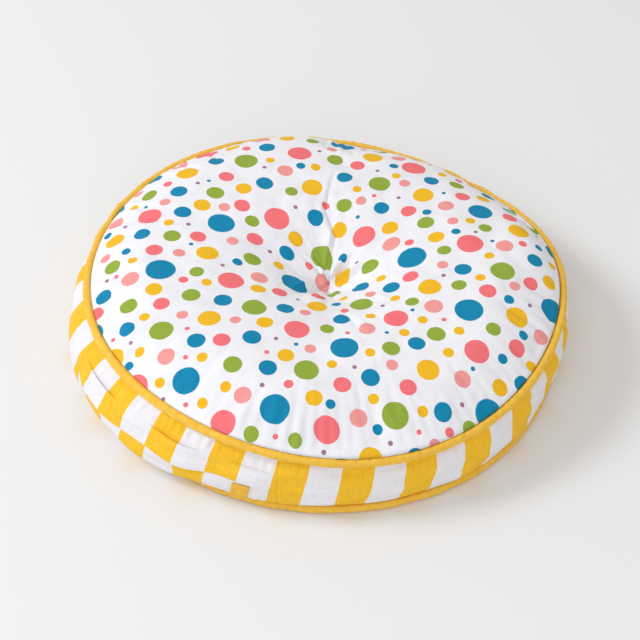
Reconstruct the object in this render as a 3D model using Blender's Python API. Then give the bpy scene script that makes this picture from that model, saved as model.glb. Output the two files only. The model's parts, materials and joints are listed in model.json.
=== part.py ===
"""Round boxed floor cushion: a zipped, piped cover over a filled inner pad, tufted once in the middle.

The origin is the centre of the base, on the floor. +Z is up and -Y is the front, beside the zip placket.
"""

import math

import bmesh
import bpy
from mathutils import Vector

# Overall sizes, in metres.
SEAM_RADIUS = 0.280  # centre of the piping, from the middle of the cushion
BAND_HEIGHT = 0.080  # from the lower piping to the upper one
BAND_BULGE = 0.0074  # how far the side band swells past the seam radius
CROWN_HEIGHT = 0.034  # rise of the top panel above the upper piping
TUFT_DROP = 0.012  # the tufted point lies this far below the upper piping
BASE_DIMPLE = 0.0091  # rise of the bottom panel over the tuft's knot
BASE_DIMPLE_RADIUS = 0.060

# Cloth, seams and fits.
FABRIC = 0.0008
GAP = 0.0003
PIPING_CORD_RADIUS = 0.0037
SEAM_ALLOWANCE = 0.018
NECK_CLEARANCE = 0.0006  # from the piping to the middle of the cloth that turns in beside it
STITCH_TURN = 0.0010  # how far the cloth rounds out past its stitch line
PAD_SETBACK = 0.0201  # the inner pad's waist, inward of the seam circle
PAD_CLEARANCE = 0.0004  # from the back of the slider to the fullest part of the inner pad
PAD_SIDE_TAPER = 0.0019
PAD_BASE_TURN = 0.009
TUFT_SHOULDER = 0.008  # radius at which the top panel turns down to the tufted point

# Zip placket. Angles are in degrees from +X, counter-clockwise seen from above.
ZIP_START = 202.5
ZIP_END = 259.0
LAP_EDGE_SHARE = 0.4533  # height of the lap's folded edge, as a share of BAND_HEIGHT
CHAIN_ABOVE_LAP_EDGE = 0.0096
BAIL_CLEARANCE = 0.0007  # from the slider's bail to the lap that covers it
COIL_WIDTH = 0.0023
CHAIN_THICKNESS = 0.0024
CHAIN_SLOT = 0.0014
TAPE_WIDTH = 0.013
TAPE_THICKNESS = 0.0006
ZIP_MARGIN = 0.35  # degrees from the end of the placket to the zip's stop
STOP_LENGTH = 0.0024
SLIDER_LENGTH = 0.011
SLIDER_PLATE = 0.0010
SLIDER_LIP = 0.0006
SLIDER_SIDE_CLEARANCE = 0.0009  # from the coils to the inside of the slider's lips
LIP_CLEARANCE = 0.0004  # from the zip tape to the slider's lips
CLOTH_TO_ZIP = 0.0009  # from the tape to the cloth's corners: its flats pass nearer than that
LAP_TURN_HEIGHTS = (0.0008, 0.0065, 0.0105)  # bends and end of the lap's turned-in layer, above the slider
UNDERLAP_CLEARANCE = 0.0009  # from the slider down to the middle of the underlap's folded edge
UNDERLAP_TURN = 0.010
UNDERLAP_BEND = 0.0015  # below the lap's edge, where the underlap starts to lean in
BAIL_LENGTH = 0.0068
BAIL_WIDTH = 0.0016
BAIL_THICKNESS = 0.0008
BAIL_CORNER = 0.0006
BAIL_ROOT = 0.0005  # how far the bail's feet run into the plate
PULL_LENGTH = 0.022
PULL_WIDTH = 0.006
PULL_THICKNESS = 0.0011
PULL_HEEL_CORNER = 0.0006
PULL_TIP_CORNER = 0.0015
PULL_BAR = 0.0011
PULL_EYE_SLACK = 0.0019  # along the pull, beyond the bail's leg
PULL_EYE_CLEARANCE = 0.0005  # at each side of the bail
PATCH_START = 250.8
PATCH_END = 254.6
PATCH_DROP = 0.0020  # from the lap's edge down to the patch

# Tuft.
TWINE_RADIUS = 0.0006
TWINE_SPACING = 0.005
TWINE_CORNER = 0.0010
KNOT_RADIUS = 0.0020
KNOT_LENGTH = 0.0028
KNOT_CLEARANCE = 0.00075
CHANNEL_CLEARANCE = 0.00036

# Facets: every round cloth piece turns at the same angles, so that the gaps between them stay even.
FACET = 9.0
ZIP_FACET = 3.0
CORD_SIDES = 8
TWINE_SIDES = 6

PIPING_RADIUS = PIPING_CORD_RADIUS + GAP + FABRIC
BOTTOM_SEAM = PIPING_RADIUS + GAP
TOP_SEAM = BOTTOM_SEAM + BAND_HEIGHT
MIDDLE = (BOTTOM_SEAM + TOP_SEAM) / 2
NECK = PIPING_RADIUS + NECK_CLEARANCE
LAYER = FABRIC + GAP
FLANGE_LEVEL = (GAP + FABRIC) / 2
ALLOWANCE_LEVEL = FLANGE_LEVEL + LAYER
LAP_EDGE = BOTTOM_SEAM + LAP_EDGE_SHARE * BAND_HEIGHT
CHAIN_LEVEL = LAP_EDGE + CHAIN_ABOVE_LAP_EDGE
COIL_LOW = CHAIN_SLOT / 2
COIL_HIGH = COIL_LOW + COIL_WIDTH
SLIDER_HALF = COIL_HIGH + SLIDER_SIDE_CLEARANCE + SLIDER_LIP
PLATE_NEAR = CHAIN_THICKNESS / 2 + GAP
PLATE_FAR = PLATE_NEAR + SLIDER_PLATE
PULL_NEAR = PLATE_FAR + GAP
PULL_FAR = PULL_NEAR + PULL_THICKNESS
BAIL_FAR = PULL_FAR + GAP + BAIL_THICKNESS
FLAT_SHARE = math.cos(math.radians(FACET / 2))  # reach of a facet's middle against its corners
LAP_BACK = (SEAM_RADIUS + BAND_BULGE - LAYER - FABRIC / 2) * FLAT_SHARE
CHAIN_RADIUS = LAP_BACK - BAIL_CLEARANCE - BAIL_FAR
PAD_SIDE = CHAIN_RADIUS - PLATE_FAR - PAD_CLEARANCE - FABRIC / 2


def material(name, colour, roughness, metallic=0.0):
    made = bpy.data.materials.new(name)
    made.use_nodes = True
    surface = made.node_tree.nodes["Principled BSDF"]
    surface.inputs["Base Color"].default_value = (*colour, 1.0)
    surface.inputs["Roughness"].default_value = roughness
    surface.inputs["Metallic"].default_value = metallic
    made.diffuse_color = (*colour, 1.0)
    return made


def new_object(name, bm, surface, smooth_angle=35.0):
    """The finished bmesh as an object, smooth except across edges sharper than smooth_angle."""
    bmesh.ops.remove_doubles(bm, verts=bm.verts, dist=1e-7)
    bmesh.ops.recalc_face_normals(bm, faces=bm.faces)
    for face in bm.faces:
        face.smooth = True
    mesh = bpy.data.meshes.new(name)
    bm.to_mesh(mesh)
    bm.free()
    mesh.set_sharp_from_angle(angle=math.radians(smooth_angle))
    mesh.materials.append(surface)
    made = bpy.data.objects.new(name, mesh)
    bpy.context.scene.collection.objects.link(made)
    return made


def facet_share(angle):
    """Radius of the faceted circle at this angle, as a share of its corner radius."""
    half = math.radians(FACET / 2)
    return math.cos(half) / math.cos(math.radians(angle % FACET) - half)


def stations(start, end, step):
    """The two ends and every multiple of step between them."""
    first = math.floor(start / step + 1e-6) + 1
    last = math.ceil(end / step - 1e-6) - 1
    return [start] + [step * n for n in range(first, last + 1)] + [end]


def sweep(name, loop, surface, start=0.0, end=360.0, round_step=None):
    """Turns the loop of (radius, height) points about Z. round_step puts its corners on a true circle."""
    angles = stations(start, end, round_step or FACET)
    whole = end - start >= 360.0
    if whole:
        angles = angles[:-1]
    bm = bmesh.new()
    rows = []
    for radius, height in loop:
        if radius < 1e-9:
            rows.append([bm.verts.new((0.0, 0.0, height))] * len(angles))
            continue
        row = []
        for angle in angles:
            reach = radius if round_step else radius * facet_share(angle)
            turn = math.radians(angle)
            row.append(bm.verts.new((reach * math.cos(turn), reach * math.sin(turn), height)))
        rows.append(row)
    count = len(angles)
    for i, row in enumerate(rows):
        following = rows[(i + 1) % len(rows)]
        for j in range(count if whole else count - 1):
            k = (j + 1) % count
            corners = []
            for vert in (row[j], row[k], following[k], following[j]):
                if vert not in corners:
                    corners.append(vert)
            if len(corners) > 2:
                bm.faces.new(corners)
    if not whole:
        bm.faces.new([row[0] for row in rows])
        bm.faces.new([row[-1] for row in reversed(rows)])
    return new_object(name, bm, surface)


def shift_line(line, distance):
    """The line moved sideways, to its left, by distance. Points on the axis stay on it."""
    points = [Vector(p) for p in line]
    shifted = []
    for i, point in enumerate(points):
        before = (point - points[i - 1]).normalized() if i else None
        after = (points[i + 1] - point).normalized() if i + 1 < len(points) else None
        if before is None or after is None:
            along = before or after
            move = Vector((-along.y, along.x)) * distance
        else:
            a = Vector((-before.y, before.x))
            b = Vector((-after.y, after.x))
            move = (a + b) * (distance / (1.0 + a.dot(b)))
        moved = point + move
        if point.x < 1e-9:
            slope = before or after
            moved = Vector((0.0, point.y + distance * (1 if slope.x > 0 else -1) / abs(slope.x)))
        shifted.append((moved.x, moved.y))
    return shifted


def cloth_section(line, thickness=FABRIC):
    """The closed outline of a cloth of this thickness that runs along the line."""
    return shift_line(line, thickness / 2) + shift_line(line, -thickness / 2)[::-1]


def tube(name, path, radius, sides, surface):
    """A closed cord along a closed path in the XZ plane."""
    bm = bmesh.new()
    rings = []
    for i, point in enumerate(path):
        along = (Vector(path[(i + 1) % len(path)]) - Vector(path[i - 1])).normalized()
        across = Vector((0.0, 1.0, 0.0))
        outward = Vector((along.y, 0.0, -along.x))
        centre = Vector((point[0], 0.0, point[1]))
        ring = []
        for n in range(sides):
            turn = math.tau * (n + 0.5) / sides
            offset = across * math.cos(turn) + outward * math.sin(turn)
            ring.append(bm.verts.new(centre + offset * radius))
        rings.append(ring)
    for i, ring in enumerate(rings):
        following = rings[(i + 1) % len(rings)]
        for n in range(sides):
            m = (n + 1) % sides
            bm.faces.new((ring[n], ring[m], following[m], following[n]))
    return new_object(name, bm, surface)


def prism(outline, low, high):
    """A bmesh of an (x, y) outline raised from low to high."""
    bm = bmesh.new()
    bottom = [bm.verts.new((x, y, low)) for x, y in outline]
    top = [bm.verts.new((x, y, high)) for x, y in outline]
    bm.faces.new(bottom[::-1])
    bm.faces.new(top)
    for i in range(len(outline)):
        k = (i + 1) % len(outline)
        bm.faces.new((bottom[i], bottom[k], top[k], top[i]))
    return bm


def cut(target, cutter, operation="DIFFERENCE"):
    modifier = target.modifiers.new(cutter.name, "BOOLEAN")
    modifier.operation = operation
    modifier.solver = "EXACT"
    modifier.object = cutter
    cutter.hide_render = True
    cutter.display_type = "WIRE"


# Profiles, as lines of (radius, height) from the seam allowance inwards.


def rim(neck, level, sign):
    """Seam allowance as far as the stitch line, above the seam for sign 1 and below it for -1."""
    return [
        (SEAM_RADIUS - SEAM_ALLOWANCE, level + sign * ALLOWANCE_LEVEL),
        (SEAM_RADIUS - neck - STITCH_TURN, level + sign * ALLOWANCE_LEVEL),
    ]


CROWN_SHAPE = (  # share of the seam radius, share of the crown's height
    (0.974, 0.27),
    (0.950, 0.49),
    (0.886, 0.74),
    (0.768, 0.92),
    (0.607, 1.00),
    (0.446, 0.94),
    (0.304, 0.80),
    (0.179, 0.56),
    (0.086, 0.18),
)
TUFT_SHARE = 0.65  # of the tuft's drop, already reached at its shoulder
DIMPLE_SHARE = 0.38  # of the base dimple's rise, reached at half its radius


def top_panel_line():
    line = rim(NECK, TOP_SEAM, 1)
    line.append((SEAM_RADIUS - NECK, TOP_SEAM + ALLOWANCE_LEVEL + 1.5 * STITCH_TURN))
    line += [(share * SEAM_RADIUS, TOP_SEAM + rise * CROWN_HEIGHT) for share, rise in CROWN_SHAPE]
    line.append((TUFT_SHOULDER, TOP_SEAM - TUFT_SHARE * TUFT_DROP))
    line.append((0.0, TOP_SEAM - TUFT_DROP))
    return line


def bottom_panel_line():
    base = FABRIC / 2
    line = rim(NECK, BOTTOM_SEAM, -1)
    line.append((SEAM_RADIUS - NECK, (BOTTOM_SEAM - ALLOWANCE_LEVEL + base) / 2))
    line.append((SEAM_RADIUS - NECK - 2 * STITCH_TURN, base))
    line.append((BASE_DIMPLE_RADIUS, base))
    line.append((BASE_DIMPLE_RADIUS / 2, base + DIMPLE_SHARE * BASE_DIMPLE))
    line.append((0.0, base + BASE_DIMPLE))
    return line


BAND_NECK = ((0.0008, 1.0), (0.0044, 1.7))  # outward of the neck, share of the piping's radius
BAND_SHAPE = ((0.20, 0.47), (0.325, 0.865))  # share of the band's height, share of its bulge
BAND_SETBACK = 0.0002  # the band's stitch line, inward of the panels'


def band_half(level, sign, shape=BAND_SHAPE):
    """The band nearly to mid-height, rising from its lower seam (1) or falling from its upper one (-1)."""
    line = rim(NECK + BAND_SETBACK, level, sign)
    line.append((SEAM_RADIUS - NECK - BAND_SETBACK, level + sign * (ALLOWANCE_LEVEL + STITCH_TURN)))
    line += [(SEAM_RADIUS - NECK + out, level + sign * up * PIPING_RADIUS) for out, up in BAND_NECK]
    line += [(SEAM_RADIUS + out * BAND_BULGE, level + sign * up * BAND_HEIGHT) for up, out in shape]
    return line


TURNED_RADIUS = CHAIN_RADIUS + TAPE_THICKNESS / 2 + GAP + FABRIC / 2 + CLOTH_TO_ZIP
UNDERLAP_SHAPE = ((0.20, 0.36), (0.31, 0.54))


def lap_line():
    """The upper strip, its folded edge, and the turned-in layer that the upper zip tape is sewn to."""
    face = SEAM_RADIUS + BAND_BULGE
    slider_top = CHAIN_LEVEL + SLIDER_HALF
    clear, bend, end = LAP_TURN_HEIGHTS
    return band_half(TOP_SEAM, -1) + [
        (face, MIDDLE),
        (face, LAP_EDGE),
        (face - LAYER, LAP_EDGE),
        (face - LAYER, MIDDLE),
        (face - LAYER - FABRIC, slider_top + clear),
        (TURNED_RADIUS, slider_top + bend),
        (TURNED_RADIUS, slider_top + end),
    ]


def underlap_line():
    """The lower strip, set back under the lap, and the turned-in layer over the lower zip tape."""
    edge = CHAIN_LEVEL - SLIDER_HALF - UNDERLAP_CLEARANCE
    return band_half(BOTTOM_SEAM, 1, UNDERLAP_SHAPE) + [
        (TURNED_RADIUS + LAYER + FABRIC, LAP_EDGE - UNDERLAP_BEND),
        (TURNED_RADIUS + LAYER, edge),
        (TURNED_RADIUS, edge),
        (TURNED_RADIUS, edge - UNDERLAP_TURN),
    ]


PAD_FULL = 0.33  # heights of the pad's fullness and waist, as shares of the band's height from each seam
PAD_WAIST = 0.085
PAD_SHOULDER = 0.18  # top of the waist, as a share of the crown's height


def pad_top_line():
    """Upper half of the inner cover, from its side seam over the crown to the tuft."""
    crown = [(share * SEAM_RADIUS, TOP_SEAM + rise * CROWN_HEIGHT) for share, rise in CROWN_SHAPE[2:]]
    crown += [(TUFT_SHOULDER, TOP_SEAM - TUFT_SHARE * TUFT_DROP), (0.0, TOP_SEAM - TUFT_DROP)]
    return [
        (PAD_SIDE, MIDDLE + GAP / 2),
        (PAD_SIDE - PAD_SIDE_TAPER, TOP_SEAM - PAD_FULL * BAND_HEIGHT),
        (SEAM_RADIUS - PAD_SETBACK, TOP_SEAM - PAD_WAIST * BAND_HEIGHT),
        (SEAM_RADIUS - PAD_SETBACK, TOP_SEAM + PAD_SHOULDER * CROWN_HEIGHT),
    ] + shift_line(crown, LAYER)


def pad_bottom_line():
    """Lower half of the inner cover, from its side seam to the tuft."""
    level = FABRIC / 2 + LAYER
    rest = [
        (BASE_DIMPLE_RADIUS, FABRIC / 2),
        (BASE_DIMPLE_RADIUS / 2, FABRIC / 2 + DIMPLE_SHARE * BASE_DIMPLE),
        (0.0, FABRIC / 2 + BASE_DIMPLE),
    ]
    return [
        (PAD_SIDE, MIDDLE - GAP / 2),
        (PAD_SIDE - PAD_SIDE_TAPER, BOTTOM_SEAM + PAD_FULL * BAND_HEIGHT),
        (SEAM_RADIUS - PAD_SETBACK, BOTTOM_SEAM + PAD_WAIST * BAND_HEIGHT),
        (SEAM_RADIUS - PAD_SETBACK - PAD_BASE_TURN, level),
    ] + shift_line(rest, -LAYER)


def filling_loop():
    inset = FABRIC / 2 + GAP
    upper = shift_line(pad_top_line(), inset)
    lower = shift_line(pad_bottom_line(), -inset)
    return upper + lower[::-1]


def piping_cover_loop(level):
    """A strip wrapped round the cord, its two flanges running inwards with a slit between them."""

    def arc(radius, height):
        near = math.sqrt(radius**2 - height**2)
        turns = [math.pi - math.tau * (n + 0.5) / CORD_SIDES for n in range(CORD_SIDES)]
        ring = [(radius * math.cos(t), radius * math.sin(t)) for t in turns]
        return [(-near, height)] + ring + [(-near, -height)]

    end = SEAM_ALLOWANCE - STITCH_TURN
    outside = arc(PIPING_RADIUS, GAP / 2 + FABRIC)
    inside = arc(PIPING_RADIUS - FABRIC, GAP / 2)[::-1]
    loop = [(-end, GAP / 2 + FABRIC)] + outside + [(-end, -GAP / 2 - FABRIC)]
    loop += [(-end, -GAP / 2)] + inside + [(-end, GAP / 2)]
    return [(SEAM_RADIUS + x, level + z) for x, z in loop]


def cord_loop(level):
    turns = [math.pi - math.tau * (n + 0.5) / CORD_SIDES for n in range(CORD_SIDES)]
    reach = PIPING_CORD_RADIUS
    return [(SEAM_RADIUS + reach * math.cos(t), level + reach * math.sin(t)) for t in turns]


def block_loop(radius, level, thickness, low, high):
    """A rectangle of this thickness about radius, from low to high about level."""
    inner, outer = radius - thickness / 2, radius + thickness / 2
    return [(inner, level + low), (outer, level + low), (outer, level + high), (inner, level + high)]


def degrees_along(length, radius=CHAIN_RADIUS):
    return math.degrees(length / radius)


for leftover in list(bpy.data.objects):
    bpy.data.objects.remove(leftover, do_unlink=True)

dotted_cotton = material("dotted_cotton", (0.86, 0.85, 0.87), 0.85)
backing_cotton = material("backing_cotton", (0.84, 0.83, 0.85), 0.85)
striped_cotton = material("striped_cotton", (0.86, 0.55, 0.06), 0.82)
piping_cotton = material("piping_cotton", (0.83, 0.50, 0.07), 0.80)
piping_cord = material("piping_cord", (0.78, 0.74, 0.66), 0.90)
calico = material("calico", (0.80, 0.76, 0.66), 0.90)
fibre = material("fibre", (0.88, 0.88, 0.86), 0.95)
zip_tape = material("zip_tape", (0.85, 0.84, 0.82), 0.80)
zip_nylon = material("zip_nylon", (0.82, 0.81, 0.78), 0.40)
zip_metal = material("zip_metal", (0.62, 0.62, 0.60), 0.35, 1.0)
twine = material("twine", (0.80, 0.78, 0.72), 0.80)

# Cover panels and the piping sewn between them.
top_panel = sweep("top_panel", cloth_section(top_panel_line()), dotted_cotton)
bottom_panel = sweep("bottom_panel", cloth_section(bottom_panel_line()), backing_cotton)
for side, seam_level in (("top", TOP_SEAM), ("bottom", BOTTOM_SEAM)):
    sweep(side + "_piping_cover", piping_cover_loop(seam_level), piping_cotton)
    sweep(side + "_piping_cord", cord_loop(seam_level), piping_cord)

# Side band, from one end of the placket round the back to the other.
seam_turn = degrees_along(GAP)
band_line = band_half(BOTTOM_SEAM, 1) + [(SEAM_RADIUS + BAND_BULGE, MIDDLE)] + band_half(TOP_SEAM, -1)[::-1]
sweep(
    "side_band",
    cloth_section(band_line),
    striped_cotton,
    ZIP_END + seam_turn,
    ZIP_START + 360.0 - seam_turn,
)
sweep("zip_lap", cloth_section(lap_line()), striped_cotton, ZIP_START, ZIP_END)
sweep("zip_underlap", cloth_section(underlap_line()), striped_cotton, ZIP_START, ZIP_END)
patch_line = shift_line(underlap_line()[4:8], -LAYER)
patch_line[-1] = (patch_line[-1][0], LAP_EDGE - FABRIC / 2 - PATCH_DROP)
sweep("placket_end_patch", cloth_section(patch_line), striped_cotton, PATCH_START, PATCH_END)

# Zip: two tapes, each with its coil, and a stop at each end of the chain.
chain_start = ZIP_START + ZIP_MARGIN + degrees_along(STOP_LENGTH + GAP)
chain_end = ZIP_END - ZIP_MARGIN - degrees_along(STOP_LENGTH + GAP)
for side, sign in (("upper", 1), ("lower", -1)):
    coil = sorted((sign * COIL_LOW, sign * COIL_HIGH))
    tape = sorted((sign * (COIL_HIGH + GAP), sign * (COIL_HIGH + GAP + TAPE_WIDTH)))
    sweep(
        "zip_coil_" + side,
        block_loop(CHAIN_RADIUS, CHAIN_LEVEL, CHAIN_THICKNESS, *coil),
        zip_nylon,
        chain_start,
        chain_end,
        ZIP_FACET,
    )
    sweep(
        "zip_tape_" + side,
        block_loop(CHAIN_RADIUS, CHAIN_LEVEL, TAPE_THICKNESS, *tape),
        zip_tape,
        ZIP_START + ZIP_MARGIN,
        ZIP_END - ZIP_MARGIN,
        ZIP_FACET,
    )
for side, start in (
    ("open", ZIP_START + ZIP_MARGIN),
    ("closed", ZIP_END - ZIP_MARGIN - degrees_along(STOP_LENGTH)),
):
    sweep(
        "zip_stop_" + side + "_end",
        block_loop(CHAIN_RADIUS, CHAIN_LEVEL, CHAIN_THICKNESS, -COIL_HIGH, COIL_HIGH),
        zip_nylon,
        start,
        start + degrees_along(STOP_LENGTH),
        ZIP_FACET,
    )

# Slider: two plates joined by a divider, with lips round the coils. It turns about the cushion's axis.
lip_reach = TAPE_THICKNESS / 2 + LIP_CLEARANCE
lip_start = SLIDER_HALF - SLIDER_LIP
divider = CHAIN_SLOT / 2 - GAP
quarter = [
    (PLATE_NEAR, divider),
    (PLATE_NEAR, lip_start),
    (lip_reach, lip_start),
    (lip_reach, SLIDER_HALF),
    (PLATE_FAR, SLIDER_HALF),
]
slider_loop = quarter + [(r, -z) for r, z in reversed(quarter)]
slider_loop += [(-r, -z) for r, z in quarter] + [(-r, z) for r, z in reversed(quarter)]
half_slider = degrees_along(SLIDER_LENGTH / 2)
slider = sweep(
    "zip_slider",
    [(CHAIN_RADIUS + r, z) for r, z in slider_loop],
    zip_metal,
    -half_slider,
    half_slider,
    ZIP_FACET,
)
slider_parked = chain_end - half_slider
slider.location = (0.0, 0.0, CHAIN_LEVEL)
slider.rotation_euler = (0.0, 0.0, math.radians(slider_parked))

leg = BAIL_LENGTH / 2 - BAIL_THICKNESS
bail_outline = [
    (PLATE_FAR - BAIL_ROOT, -BAIL_LENGTH / 2),
    (BAIL_FAR - BAIL_CORNER, -BAIL_LENGTH / 2),
    (BAIL_FAR, -BAIL_LENGTH / 2 + BAIL_CORNER),
    (BAIL_FAR, BAIL_LENGTH / 2 - BAIL_CORNER),
    (BAIL_FAR - BAIL_CORNER, BAIL_LENGTH / 2),
    (PLATE_FAR - BAIL_ROOT, BAIL_LENGTH / 2),
    (PLATE_FAR - BAIL_ROOT, leg),
    (PULL_FAR + GAP, leg),
    (PULL_FAR + GAP, -leg),
    (PLATE_FAR - BAIL_ROOT, -leg),
]
bail_points = [(CHAIN_RADIUS + x, y) for x, y in bail_outline]
bail = new_object("bail_tool", prism(bail_points, -BAIL_WIDTH / 2, BAIL_WIDTH / 2), zip_metal)
bail.parent = slider
cut(slider, bail, "UNION")

# Pull: a flat tab whose crossbar turns inside the bail, about an axis along the cushion's height.
eye_start = PULL_BAR / 2
eye_side = BAIL_WIDTH / 2 + PULL_EYE_CLEARANCE
eye_end = BAIL_LENGTH / 2 + PULL_EYE_SLACK
tip = PULL_LENGTH - PULL_TIP_CORNER
tab = [
    (-PULL_BAR / 2, -PULL_WIDTH / 2 + PULL_HEEL_CORNER),
    (-PULL_BAR / 2 + PULL_HEEL_CORNER, -PULL_WIDTH / 2),
    (tip, -PULL_WIDTH / 2),
    (PULL_LENGTH, -PULL_WIDTH / 2 + PULL_TIP_CORNER),
    (PULL_LENGTH, PULL_WIDTH / 2 - PULL_TIP_CORNER),
    (tip, PULL_WIDTH / 2),
    (-PULL_BAR / 2 + PULL_HEEL_CORNER, PULL_WIDTH / 2),
    (-PULL_BAR / 2, PULL_WIDTH / 2 - PULL_HEEL_CORNER),
]
eye = [
    (eye_start, -eye_side),
    (eye_end, -eye_side),
    (eye_end, eye_side),
    (eye_start, eye_side),
]


def laid(bm):
    """Turns a plate drawn as (along, across, thick) to lie on the slider, its tip back along the zip."""
    for vert in bm.verts:
        along, across, thick = vert.co
        vert.co = (thick, -along, across)
    return bm


half_pull = PULL_THICKNESS / 2
pull = new_object("zip_pull", laid(prism(tab, -half_pull, half_pull)), zip_metal)
eye_tool = new_object("eye_tool", laid(prism(eye, -2 * half_pull, 2 * half_pull)), zip_metal)
for piece in (pull, eye_tool):
    piece.parent = slider
    piece.location = (CHAIN_RADIUS + PULL_NEAR + half_pull, 0.0, 0.0)
cut(pull, eye_tool)

# Inner pad: its calico cover in two halves, and the filling.
pad_top = sweep("inner_cover_top", cloth_section(pad_top_line()), calico)
pad_bottom = sweep("inner_cover_bottom", cloth_section(pad_bottom_line()), calico)
filling = sweep("filling", filling_loop(), fibre)

# Tuft: one loop of twine through everything, knotted under the base.
channels = bmesh.new()
for side in (-1, 1):
    made = bmesh.ops.create_cone(
        channels,
        cap_ends=True,
        segments=8,
        radius1=TWINE_RADIUS + CHANNEL_CLEARANCE,
        radius2=TWINE_RADIUS + CHANNEL_CLEARANCE,
        depth=TOP_SEAM + CROWN_HEIGHT,
    )
    bmesh.ops.translate(
        channels, verts=made["verts"], vec=(side * TWINE_SPACING / 2, 0.0, TOP_SEAM / 2)
    )
channel_tool = new_object("channel_tool", channels, twine)
for piece in (top_panel, bottom_panel, pad_top, pad_bottom, filling):
    cut(piece, channel_tool)

surface_rise = (1 - TUFT_SHARE) * TUFT_DROP * (TWINE_SPACING / 2) / TUFT_SHOULDER
twine_top = TOP_SEAM - TUFT_DROP + surface_rise + FABRIC / 2 + GAP + TWINE_RADIUS + GAP / 2
knot_level = BASE_DIMPLE - KNOT_RADIUS - KNOT_CLEARANCE
twine_path = []
bends = ((1, knot_level, -1), (1, twine_top, 1), (-1, twine_top, 1), (-1, knot_level, -1))
for x_side, level, sign in bends:
    centre = (x_side * (TWINE_SPACING / 2 - TWINE_CORNER), level - sign * TWINE_CORNER)
    turns = [math.radians(30.0 * n) for n in range(4)]
    if x_side != sign:
        turns = turns[::-1]
    corner = [
        (centre[0] + x_side * TWINE_CORNER * math.cos(t), centre[1] + sign * TWINE_CORNER * math.sin(t))
        for t in turns
    ]
    twine_path += corner
tube("tuft_twine", twine_path, TWINE_RADIUS, TWINE_SIDES, twine)

knot = bmesh.new()
knot_shape = (
    (TWINE_RADIUS + GAP, -KNOT_LENGTH / 2),
    (KNOT_RADIUS * 0.8, -KNOT_LENGTH / 2),
    (KNOT_RADIUS, 0.0),
    (KNOT_RADIUS * 0.8, KNOT_LENGTH / 2),
    (TWINE_RADIUS + GAP, KNOT_LENGTH / 2),
)
knot_rings = []
for radius, along in knot_shape:
    ring = []
    for n in range(CORD_SIDES):
        turn = math.tau * (n + 0.5) / CORD_SIDES
        place = (along, radius * math.cos(turn), knot_level + radius * math.sin(turn))
        ring.append(knot.verts.new(place))
    knot_rings.append(ring)
for i, ring in enumerate(knot_rings):
    following = knot_rings[(i + 1) % len(knot_rings)]
    for n in range(CORD_SIDES):
        m = (n + 1) % CORD_SIDES
        knot.faces.new((ring[n], ring[m], following[m], following[n]))
new_object("tuft_knot", knot, twine)
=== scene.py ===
"""Looks of the round boxed floor cushion: a dotted cotton cover with striped sides and yellow piping,
over a stuffed calico pad, tufted once. Sizes are in metres, +Z is up and -Y is the front."""

import json
import math

import bpy
import numpy as np
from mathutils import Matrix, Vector


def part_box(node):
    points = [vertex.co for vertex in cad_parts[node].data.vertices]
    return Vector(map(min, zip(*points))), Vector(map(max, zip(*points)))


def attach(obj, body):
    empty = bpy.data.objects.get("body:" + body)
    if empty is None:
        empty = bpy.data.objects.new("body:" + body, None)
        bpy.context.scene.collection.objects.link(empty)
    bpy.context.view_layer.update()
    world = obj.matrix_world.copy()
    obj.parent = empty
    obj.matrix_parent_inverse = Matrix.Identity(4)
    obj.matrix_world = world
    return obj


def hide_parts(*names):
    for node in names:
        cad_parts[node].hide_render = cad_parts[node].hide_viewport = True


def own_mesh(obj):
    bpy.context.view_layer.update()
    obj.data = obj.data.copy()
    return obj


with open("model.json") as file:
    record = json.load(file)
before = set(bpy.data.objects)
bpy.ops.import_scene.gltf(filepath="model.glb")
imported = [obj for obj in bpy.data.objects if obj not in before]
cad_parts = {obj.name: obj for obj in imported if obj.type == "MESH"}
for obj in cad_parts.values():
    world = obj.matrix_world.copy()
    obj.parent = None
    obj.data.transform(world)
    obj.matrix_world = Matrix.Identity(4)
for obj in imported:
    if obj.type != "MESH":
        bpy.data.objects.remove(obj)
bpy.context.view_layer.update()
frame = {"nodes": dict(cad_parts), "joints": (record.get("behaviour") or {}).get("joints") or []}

# Inner pad: a bag of unbleached calico, two discs sewn round the waist, stuffed with polyester fibre.
# It fills the cover and is pulled down in the middle by the tuft, so the cover's shape is worked out here:
# the regular round first, then how it has settled in use.
top_low, top_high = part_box("top_piping_cover")
bottom_low, bottom_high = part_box("bottom_piping_cover")
PIPING_RADIUS = (top_high.z - top_low.z) / 2 / math.cos(math.pi / 8)
SEAM_RADIUS = top_high.x - (top_high.z - top_low.z) / 2
TOP_SEAM = (top_low.z + top_high.z) / 2
BOTTOM_SEAM = (bottom_low.z + bottom_high.z) / 2
BAND_HEIGHT = TOP_SEAM - BOTTOM_SEAM
BAND_BULGE = 0.0074
CROWN = 0.037
TUFT_DROP = 0.012
FUNNEL_WIDTH = 0.046
FABRIC = 0.0008
BASE_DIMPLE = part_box("bottom_panel")[1].z - FABRIC
BASE_DIMPLE_RADIUS = 0.060
PAD_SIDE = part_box("inner_cover_top")[1].x - FABRIC / 2
PAD_NECK = 0.2590
PAD_NECK_DROP = 0.0065
PAD_SHOULDER = 0.006
PAD_FOLDS_WIDTH = 0.070
PAD_UNDER_COVER = 0.0062
PAD_UNDER_FOLDS = 0.007
PAD_OVER_BASE = 0.0010
FIBRE_UNDER_CALICO = 0.0012

BASE_TWIST = math.radians(3.1)
BASE_SPREAD = 0.0032
SLUMP = 0.0041
SLUMP_LEFT = 0.0128
TUCK = 0.0050
TUFT_LEAN = 0.012
TUFT_LEAN_WIDTH = 0.100
SIDE_SWELL = 0.010
SIDE_SWELL_TURN = math.radians(190)
PRESSED_RIGHT = 0.0047
PRESSED_SEAM = 0.0170
PRESSED_BASE = 0.0092


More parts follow.
